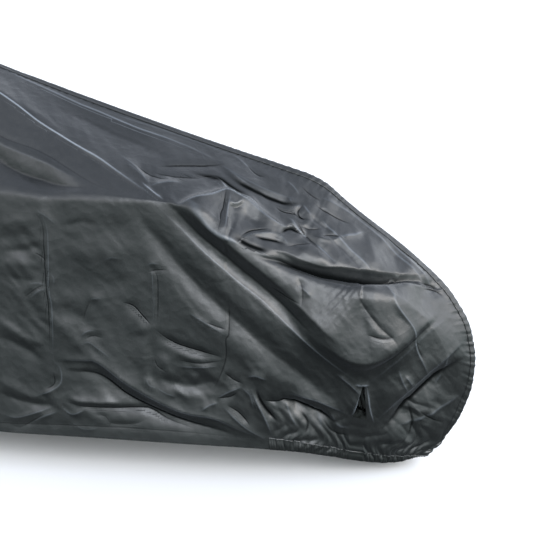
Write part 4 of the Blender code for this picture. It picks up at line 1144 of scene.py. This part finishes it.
def node(tree, kind, place, **values):
    """Add a shader node. Each value feeds the input of its name, or is one of the node's own settings."""
    made = tree.nodes.new(kind)
    made.location = place
    for key, value in values.items():
        if key in made.inputs:
            feed(tree, made.inputs[key], value)
        else:
            setattr(made, key, value)
    return made


def math(tree, operation, place, *values):
    """The result of a math node, fed in order with values or sockets."""
    made = node(tree, "ShaderNodeMath", place, operation=operation)
    for socket, value in zip(made.inputs, values):
        feed(tree, socket, value)
    return made.outputs["Value"]


def mapped(tree, place, source, old, new, **settings):
    """A socket's values, mapped from an old range to a new one."""
    made = node(tree, "ShaderNodeMapRange", place, Value=source, **settings)
    for name, value in zip(("From Min", "From Max", "To Min", "To Max"), (*old, *new)):
        made.inputs[name].default_value = value
    return made.outputs["Result"]


def blended(tree, place, share, first, second):
    """A mix of two colours, with a share of the second."""
    made = node(tree, "ShaderNodeMix", place, data_type="RGBA")
    for number, value in zip(MIX_INPUTS, (share, first, second)):
        feed(tree, made.inputs[number], value)
    return made.outputs[MIX_OUTPUT]


def noise(tree, place, vector, scale, detail, roughness=0.5):
    """A noise texture over the given coordinates."""
    return node(tree, "ShaderNodeTexNoise", place, Vector=vector, Scale=scale, Detail=detail,
                Roughness=roughness)


def ramp(tree, place, source, stops):
    """Colours by a socket's value, from stops of a place on the ramp and a colour."""
    made = node(tree, "ShaderNodeValToRGB", place, Fac=source)
    for stop in stops[2:]:
        made.color_ramp.elements.new(stop[0])
    for element, (position, colour) in zip(made.color_ramp.elements, stops):
        element.position = position
        element.color = (*colour, 1.0)
    return made.outputs["Color"]


def new_material(name):
    """A new material, its node tree and its shader."""
    material = bpy.data.materials.new(name)
    material.use_nodes = True
    return material, material.node_tree, material.node_tree.nodes["Principled BSDF"]


def painted_crease_lines(tree):
    """Thin painted lines along the creases: above 0 a painted highlight, below 0 painted shade."""
    total = 0.0
    for k in range(CREASE_LAYERS):
        height = 900 + 300 * k
        place = node(tree, "ShaderNodeAttribute", (-1900, height), attribute_name=f"crease_{k}_place")
        worn = node(tree, "ShaderNodeAttribute", (-1900, height - 150), attribute_name=f"crease_{k}_worn")
        away = math(tree, "ABSOLUTE", (-1700, height), place.outputs["Fac"])
        line = mapped(tree, (-1500, height), away, (0.0, 1.0), (1.0, 0.0), interpolation_type="SMOOTHSTEP")
        total = math(tree, "MULTIPLY_ADD", (-1300, height), line, worn.outputs["Fac"], total)
    return total


def taffeta_material(name, dark, light, roughness, colours):
    """Black coated taffeta: a fine weave, soft crinkles, uneven colour and gloss, and painted highlight and
    painted shade lines along the folds' creases.
    """
    material, tree, shader = new_material(name)
    shader.inputs["Sheen Roughness"].default_value = 0.45
    shader.inputs["Sheen Tint"].default_value = (0.75, 0.82, 0.95, 1.0)
    shader.inputs["Coat Roughness"].default_value = 0.28
    here = node(tree, "ShaderNodeTexCoord", (-1500, 0)).outputs["Object"]
    flat = node(tree, "ShaderNodeUVMap", (-1500, -500), uv_map=FLAT_MAP).outputs["UV"]

    # painted highlight along the folds' ridges and painted shade along their creases
    cloud = noise(tree, (-1200, 250), here, 5.0, 4.0, 0.55)
    shade = ramp(tree, (-950, 250), cloud.outputs["Fac"], ((0.35, dark), (0.70, light)))
    worn = painted_crease_lines(tree)
    # the shares of painted highlight and of painted shade along the creases
    pale = mapped(tree, (-700, 700), worn, (0.0, 1.0), (0.0, PAINTED_HIGHLIGHT_SHARE))
    painted_shade_mask = mapped(tree, (-700, 450), worn, (0.0, -1.0), (0.0, PAINTED_SHADE_SHARE))
    shade = blended(tree, (-450, 600), pale, shade, (*PAINTED_HIGHLIGHT_COLOUR, 1.0))
    shade = blended(tree, (-250, 600), painted_shade_mask, shade, (0.0, 0.0, 0.0, 1.0))
    feed(tree, shader.inputs["Base Color"], shade)
    # the painted shade of a dark crease also takes away its specular, coat and sheen, so it shows black
    for socket, share, height in (("Specular IOR Level", 0.60, 1000), ("Coat Weight", 0.22, 1250),
                                  ("Sheen Weight", 0.05, 1500)):
        shine = mapped(tree, (-700, height), worn, (-0.8, 0.0), (0.0, share))
        feed(tree, shader.inputs[socket], shine)

    wear = noise(tree, (-1200, -50), here, 38.0, 5.0, 0.6)
    gloss = mapped(tree, (-950, -50), wear.outputs["Fac"], (0.3, 0.7), (roughness - 0.05, roughness + 0.07))
    feed(tree, shader.inputs["Roughness"], gloss)

    threads = [node(tree, "ShaderNodeTexWave", (-1200, height), wave_type="BANDS",
                    bands_direction=direction, Vector=flat, Scale=WAVE_SCALE / colours.weave_pitch)
               for direction, height in (("X", -350), ("Y", -600))]
    weave = math(tree, "MULTIPLY", (-950, -450), *[thread.outputs["Fac"] for thread in threads])
    bump = node(tree, "ShaderNodeBump", (-600, -450), Strength=0.18, Distance=0.00012, Height=weave)

    warp = noise(tree, (-1500, -850), here, 14.0, 2.0)
    bent = node(tree, "ShaderNodeVectorMath", (-1350, -1000), operation="MULTIPLY_ADD")
    for socket, value in zip(bent.inputs, (warp.outputs["Color"], (0.05, 0.05, 0.05), here)):
        feed(tree, socket, value)
    crinkles = node(tree, "ShaderNodeTexVoronoi", (-1200, -850), feature="F1", Scale=42.0, Randomness=1.0,
                    Vector=bent.outputs["Vector"])
    small = noise(tree, (-1200, -1150), here, 75.0, 3.0)
    both = math(tree, "MULTIPLY_ADD", (-950, -950), small.outputs["Fac"], 0.5, crinkles.outputs["Distance"])
    bump = node(tree, "ShaderNodeBump", (-350, -450), Strength=1.0, Distance=colours.crinkle, Height=both,
                Normal=bump.outputs["Normal"])
    bump = node(tree, "ShaderNodeBump", (-150, -450), Strength=1.0, Distance=CREASE_RISE, Height=worn,
                Normal=bump.outputs["Normal"])
    feed(tree, shader.inputs["Normal"], bump.outputs["Normal"])
    return material


def mottled_material(name, colour, darker, scale, detail, roughness, mirror=0.5):
    """A plain finish that varies softly between its colour and a darker share of it."""
    material, tree, shader = new_material(name)
    shader.inputs["Roughness"].default_value = roughness
    shader.inputs["Specular IOR Level"].default_value = mirror
    here = node(tree, "ShaderNodeTexCoord", (-900, 0)).outputs["Object"]
    cloud = noise(tree, (-700, 0), here, scale, detail)
    shade = ramp(tree, (-450, 0), cloud.outputs["Fac"], ((0.0, darker * np.array(colour)), (1.0, colour)))
    feed(tree, shader.inputs["Base Color"], shade)
    return material


def length_property(name, description, default):
    """A length that a user would change."""
    return bpy.props.FloatProperty(name=name, description=description, default=default, min=0.0,
                                   precision=4, subtype="DISTANCE", unit="LENGTH")


def colour_property(name, description, default):
    """A colour that a user would change."""
    return bpy.props.FloatVectorProperty(name=name, description=description, default=default, size=3,
                                         min=0.0, max=1.0, subtype="COLOR")


class CoverSizes(bpy.types.PropertyGroup):
    """Sizes of the cloth's folds, hems and stitches."""
    fold_strength: bpy.props.FloatProperty(
        name="Fold Strength", description="How high the laid-out folds stand, as a share", default=1.0,
        min=0.0, max=2.0, subtype="FACTOR")
    crumple_height: length_property("Crumple Height", "Height of the small facets all over the cloth", 0.0013)
    ruffle_height: length_property("Ruffle Height", "How far the elastic's ruffles stand out", 0.0050)
    ruffle_pitch: length_property("Ruffle Pitch", "Distance between two of the elastic's ruffles", 0.0135)
    pucker_height: length_property("Pucker Height", "Height of the puckers beside the centre seam", 0.0011)
    pucker_pitch: length_property("Pucker Pitch", "Distance between two puckers of the centre seam", 0.021)
    hem_depth: length_property("Hem Depth", "Width of the cloth that is turned in along the foot", 0.024)
    hem_turn: length_property("Hem Turn", "Thickness of the turned edge", 0.0016)
    casing_bulge: length_property("Casing Bulge", "How far the elastic casing swells at its middle", 0.0026)
    gather_height: length_property("Gather Height", "Height of the fine gathers of the casing", 0.0007)
    gather_pitch: length_property("Gather Pitch", "Distance between two fine gathers of the casing", 0.0071)
    casing_depth: length_property("Casing Depth", "Thickness of the elastic casing at its edges", 0.0050)
    seam_lap: length_property("Seam Lap", "How far the centre seam's strip reaches down each side", 0.014)
    stitch_length: length_property("Stitch Length", "Length of one stitch", 0.0026)
    stitch_pitch: length_property("Stitch Pitch", "Distance from one stitch to the next", 0.0034)
    stitch_width: length_property("Stitch Width", "Thickness of the thread", 0.0006)


class CoverColours(bpy.types.PropertyGroup):
    """Colours and gloss of the cloth and thread."""
    cloth: colour_property("Cloth", "Darker colour of the black cloth", (0.008, 0.0095, 0.010))
    cloth_light: colour_property(
        "Cloth, Lighter", "Lighter colour of the black cloth", (0.014, 0.0155, 0.016))
    trim: colour_property("Trim", "Colour of the casings and the seam", (0.007, 0.0085, 0.0085))
    trim_light: colour_property(
        "Trim, Lighter", "Lighter colour of the casings and the seam", (0.012, 0.0135, 0.014))
    thread: colour_property("Thread", "Colour of the stitches", (0.035, 0.038, 0.040))
    roughness: bpy.props.FloatProperty(
        name="Cloth Roughness", description="How matt the cloth is", default=0.37, min=0.05, max=1.0,
        subtype="FACTOR")
    weave_pitch: length_property("Weave Pitch", "Distance between two threads of the taffeta", 0.0009)
    crinkle: length_property("Crinkle Depth", "Depth of the finest crinkles, which are bump only", 0.0008)


class CoverStage(bpy.types.PropertyGroup):
    """Floor, light and camera."""
    floor_height: bpy.props.FloatProperty(
        name="Floor Height", description="Height of the floor below the cover's top", default=-1.10,
        subtype="DISTANCE", unit="LENGTH")
    floor_colour: colour_property("Floor", "Colour of the pale floor", (0.86, 0.86, 0.85))
    sky_power: bpy.props.FloatProperty(
        name="Sky Light", description="Strength of the soft light above the near side", default=1.1)
    side_power: bpy.props.FloatProperty(
        name="Side Light", description="Strength of the soft light beside the wheel end", default=1.0)
    world_strength: bpy.props.FloatProperty(
        name="World Strength", description="Strength of the light from all round", default=2.5)
    lens: bpy.props.FloatProperty(
        name="Lens", description="Focal length of the camera, in millimetres", default=72.0)


def cloth_of_cover(colours):
    """The side cloths' finish."""
    return bpy.data.materials.get("black_taffeta") or taffeta_material(
        "black_taffeta", colours.cloth, colours.cloth_light, colours.roughness, colours)


def trim_of_cover(colours):
    """The finish of the casings and the seam, a little more matt."""
    return bpy.data.materials.get("black_trim_taffeta") or taffeta_material(
        "black_trim_taffeta", colours.trim, colours.trim_light, colours.roughness + 0.05, colours)


def thread_of_cover(colours):
    """Twisted polyester thread, a little lighter than the cloth."""
    return bpy.data.materials.get("black_thread") or mottled_material(
        "black_thread", colours.thread, darker=0.6, scale=900.0, detail=1.0, roughness=0.5)


def finish_piece(piece, slot, *nodes):
    """Let a piece ride with the cover and stand for its solids. The slot is not used."""
    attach(piece, "root")
    if nodes:
        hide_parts(*nodes)


# Both sides' grids by name, filled by the first operator for the others
sides = {}


class COVER_OT_sides(bpy.types.Operator):
    """Model both sides' cloth with its folds, turned hem and slot"""
    bl_idname = "cover.sides"
    bl_label = "Side Cloths"

    def execute(self, context):
        sizes, cloth = context.scene.cover_sizes, cloth_of_cover(context.scene.cover_colours)
        for name, far, folds, patches, columns, rows in (
                ("near", False, NEAR_FOLDS, PATCHES, NEAR_COLUMNS, NEAR_ROWS),
                ("far", True, FAR_FOLDS, (), FAR_COLUMNS, FAR_ROWS)):
            piece, sides[name] = cloth_side(
                f"{name}_side_cloth", sizes, folds, patches, far, columns, rows, cloth)
            if len(piece.data.polygons) == 0:
                raise RuntimeError("a side's cloth has no faces")
            finish_piece(piece, "cloth", f"{name}_panel", f"{name}_slot_patch")
        return {"FINISHED"}


class COVER_OT_casings(bpy.types.Operator):
    """Model the ruffled elastic casing of both wheel ends"""
    bl_idname = "cover.casings"
    bl_label = "Elastic Casings"

    def execute(self, context):
        sizes, trim = context.scene.cover_sizes, trim_of_cover(context.scene.cover_colours)
        for name, wheel_end in (("wheel_end", True), ("other_end", False)):
            piece = casing_piece(
                f"{name}_elastic_casing", sides["near"], sides["far"], wheel_end, sizes, trim)
            finish_piece(piece, "casing", f"{name}_casing")
        return {"FINISHED"}


class COVER_OT_centre_seam(bpy.types.Operator):
    """Model the puckered strip of the centre seam"""
    bl_idname = "cover.centre_seam"
    bl_label = "Centre Seam"

    def execute(self, context):
        sizes, trim = context.scene.cover_sizes, trim_of_cover(context.scene.cover_colours)
        piece = seam_piece("puckered_centre_seam", sides["near"], sides["far"], sizes, trim)
        finish_piece(piece, "seam", "centre_seam")
        return {"FINISHED"}


class COVER_OT_stitches(bpy.types.Operator):
    """Model the rows of stitches on the hems, beside the slots and on the centre seam"""
    bl_idname = "cover.stitches"
    bl_label = "Stitches"

    def execute(self, context):
        sizes, thread = context.scene.cover_sizes, thread_of_cover(context.scene.cover_colours)
        lift = 0.15 * sizes.stitch_width
        for name, panel in sides.items():
            hem = between(panel.stations[:, 0], FLAT_HEM_START, FLAT_HEM_END)
            tracks = [track_on(panel, hem, row, lift)
                      for row in (HEM_STITCH_ROWS, HEM_ROWS - HEM_STITCH_ROWS)]
            # beside the slot's two edges
            in_slot = between(panel.levels[0], SLOT_BOTTOM, SLOT_TOP)
            tracks += [track_on(panel, column, in_slot, lift)
                       for column in (panel.slot_column - 1, panel.slot_column + 2)]
            # along the centre seam's lap
            stations = np.linspace(FIRST_STATION + SEAM_STITCH_END, LAST_STATION - SEAM_STITCH_END,
                                   SEAM_STITCH_COLUMNS)
            line, normals = down_from_seam(panel, stations, np.array(SEAM_STITCHES) * sizes.seam_lap)
            tracks.append((line[:, 0] + normals[:, 0] * SEAM_STITCH_LIFT, normals[:, 0]))
            finish_piece(stitch_piece(f"{name}_stitches", tracks, sizes, thread), "cloth")
        return {"FINISHED"}


class COVER_OT_stage(bpy.types.Operator):
    """Lay the pale floor, hang the soft lights and set the camera"""
    bl_idname = "cover.stage"
    bl_label = "Stage"

    def execute(self, context):
        stage = context.scene.cover_stage
        bpy.ops.object.select_all(action="DESELECT")
        bpy.ops.mesh.primitive_circle_add(vertices=ROUND_SIDES, radius=STAGE_RADIUS, fill_type="NGON",
                                          location=(*STAGE_MIDDLE, stage.floor_height))
        floor = context.object
        floor.name = "floor"
        bpy.ops.mesh.primitive_cylinder_add(
            vertices=ROUND_SIDES, radius=BACKDROP_SHARE * STAGE_RADIUS, depth=STAGE_RADIUS,
            end_fill_type="NOTHING", location=(*STAGE_MIDDLE, 0.0))
        backdrop = context.object
        backdrop.name = "backdrop"
        pale = mottled_material("pale_floor", stage.floor_colour, darker=0.97, scale=1.5, detail=3.0,
                                roughness=0.75, mirror=0.2)
        for piece in (floor, backdrop):
            piece.data.materials.append(pale)
            # the cloth mirrors the dim lower sky and not the bright floor
            piece.visible_glossy = False
            piece.visible_diffuse = False
            piece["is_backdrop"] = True
        backdrop.visible_shadow = False
        soft_light("sky_light", (0.40, -0.74, 0.54), 38.0, stage.sky_power, (0.90, 0.95, 1.0))
        soft_light("side_light", (0.80, -0.45, 0.42), 30.0, stage.side_power, (1.0, 0.93, 0.86))
        set_world(context.scene, stage.world_strength)
        bpy.ops.object.camera_add(location=EYE, rotation=CAMERA_TURN)
        camera = context.object
        camera.data.lens = stage.lens
        camera.data.sensor_width = SENSOR_WIDTH
        context.scene.camera = camera
        context.scene.view_settings.view_transform = "Standard"
        return {"FINISHED"}


def soft_light(name, towards, width, strength, colour):
    """A far, wide disc of light, "width" degrees across, that shines from the given direction."""
    bpy.ops.object.light_add(type="SUN", location=(0.0, 0.0, 3.0))
    light = bpy.context.object
    light.name = name
    light.data.angle = np.radians(width)
    light.data.energy = strength
    light.data.color = colour
    light.rotation_euler = Vector(towards).to_track_quat("Z", "Y").to_euler()


def set_world(scene, strength):
    """A pale sky that is coloured by the height of a direction and brighter towards +X."""
    world = bpy.data.worlds.new("soft_sky")
    scene.world = world
    world.use_nodes = True
    tree = world.node_tree
    direction = node(tree, "ShaderNodeTexCoord", (-900, 0)).outputs["Generated"]
    split = node(tree, "ShaderNodeSeparateXYZ", (-700, 0), Vector=direction)
    # the height of a direction, from -1 to 1, is read as 0 to 1
    height = math(tree, "MULTIPLY_ADD", (-580, 0), split.outputs["Z"], 0.5, 0.5)
    sideways = math(tree, "MULTIPLY_ADD", (-580, -200), split.outputs["X"], SKY_SIDEWAYS * strength, strength)
    background = tree.nodes["Background"]
    feed(tree, background.inputs["Strength"], sideways)
    feed(tree, background.inputs["Color"], ramp(tree, (-450, 0), height, SKY_STOPS))


class COVER_PT_panel(bpy.types.Panel):
    """The cover's operators in the order in which they are used"""
    bl_idname = "COVER_PT_panel"
    bl_label = "Bicycle Cover"
    bl_space_type = "VIEW_3D"
    bl_region_type = "UI"
    bl_category = "Cover"

    def draw(self, context):
        for operator in OPERATORS:
            self.layout.operator(operator.bl_idname)
        for group in (context.scene.cover_sizes, context.scene.cover_colours, context.scene.cover_stage):
            box = self.layout.box()
            for name in group.__annotations__:
                box.prop(group, name)


OPERATORS = (COVER_OT_sides, COVER_OT_casings, COVER_OT_centre_seam, COVER_OT_stitches, COVER_OT_stage)
CLASSES = (CoverSizes, CoverColours, CoverStage) + OPERATORS + (COVER_PT_panel,)


def register():
    for each in CLASSES:
        bpy.utils.register_class(each)
    bpy.types.Scene.cover_sizes = bpy.props.PointerProperty(type=CoverSizes)
    bpy.types.Scene.cover_colours = bpy.props.PointerProperty(type=CoverColours)
    bpy.types.Scene.cover_stage = bpy.props.PointerProperty(type=CoverStage)


def unregister():
    for name in ("cover_sizes", "cover_colours", "cover_stage"):
        delattr(bpy.types.Scene, name)
    for each in reversed(CLASSES):
        bpy.utils.unregister_class(each)


def main():
    register()
    bpy.ops.cover.sides()
    bpy.ops.cover.casings()
    bpy.ops.cover.centre_seam()
    bpy.ops.cover.stitches()
    bpy.ops.cover.stage()
    boxes = {"cad": CAD_BOX, "visual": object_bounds()}
    boxes = {name: [[float(x) for x in corner] for corner in box] for name, box in boxes.items()}


if __name__ == "__main__":
    main()
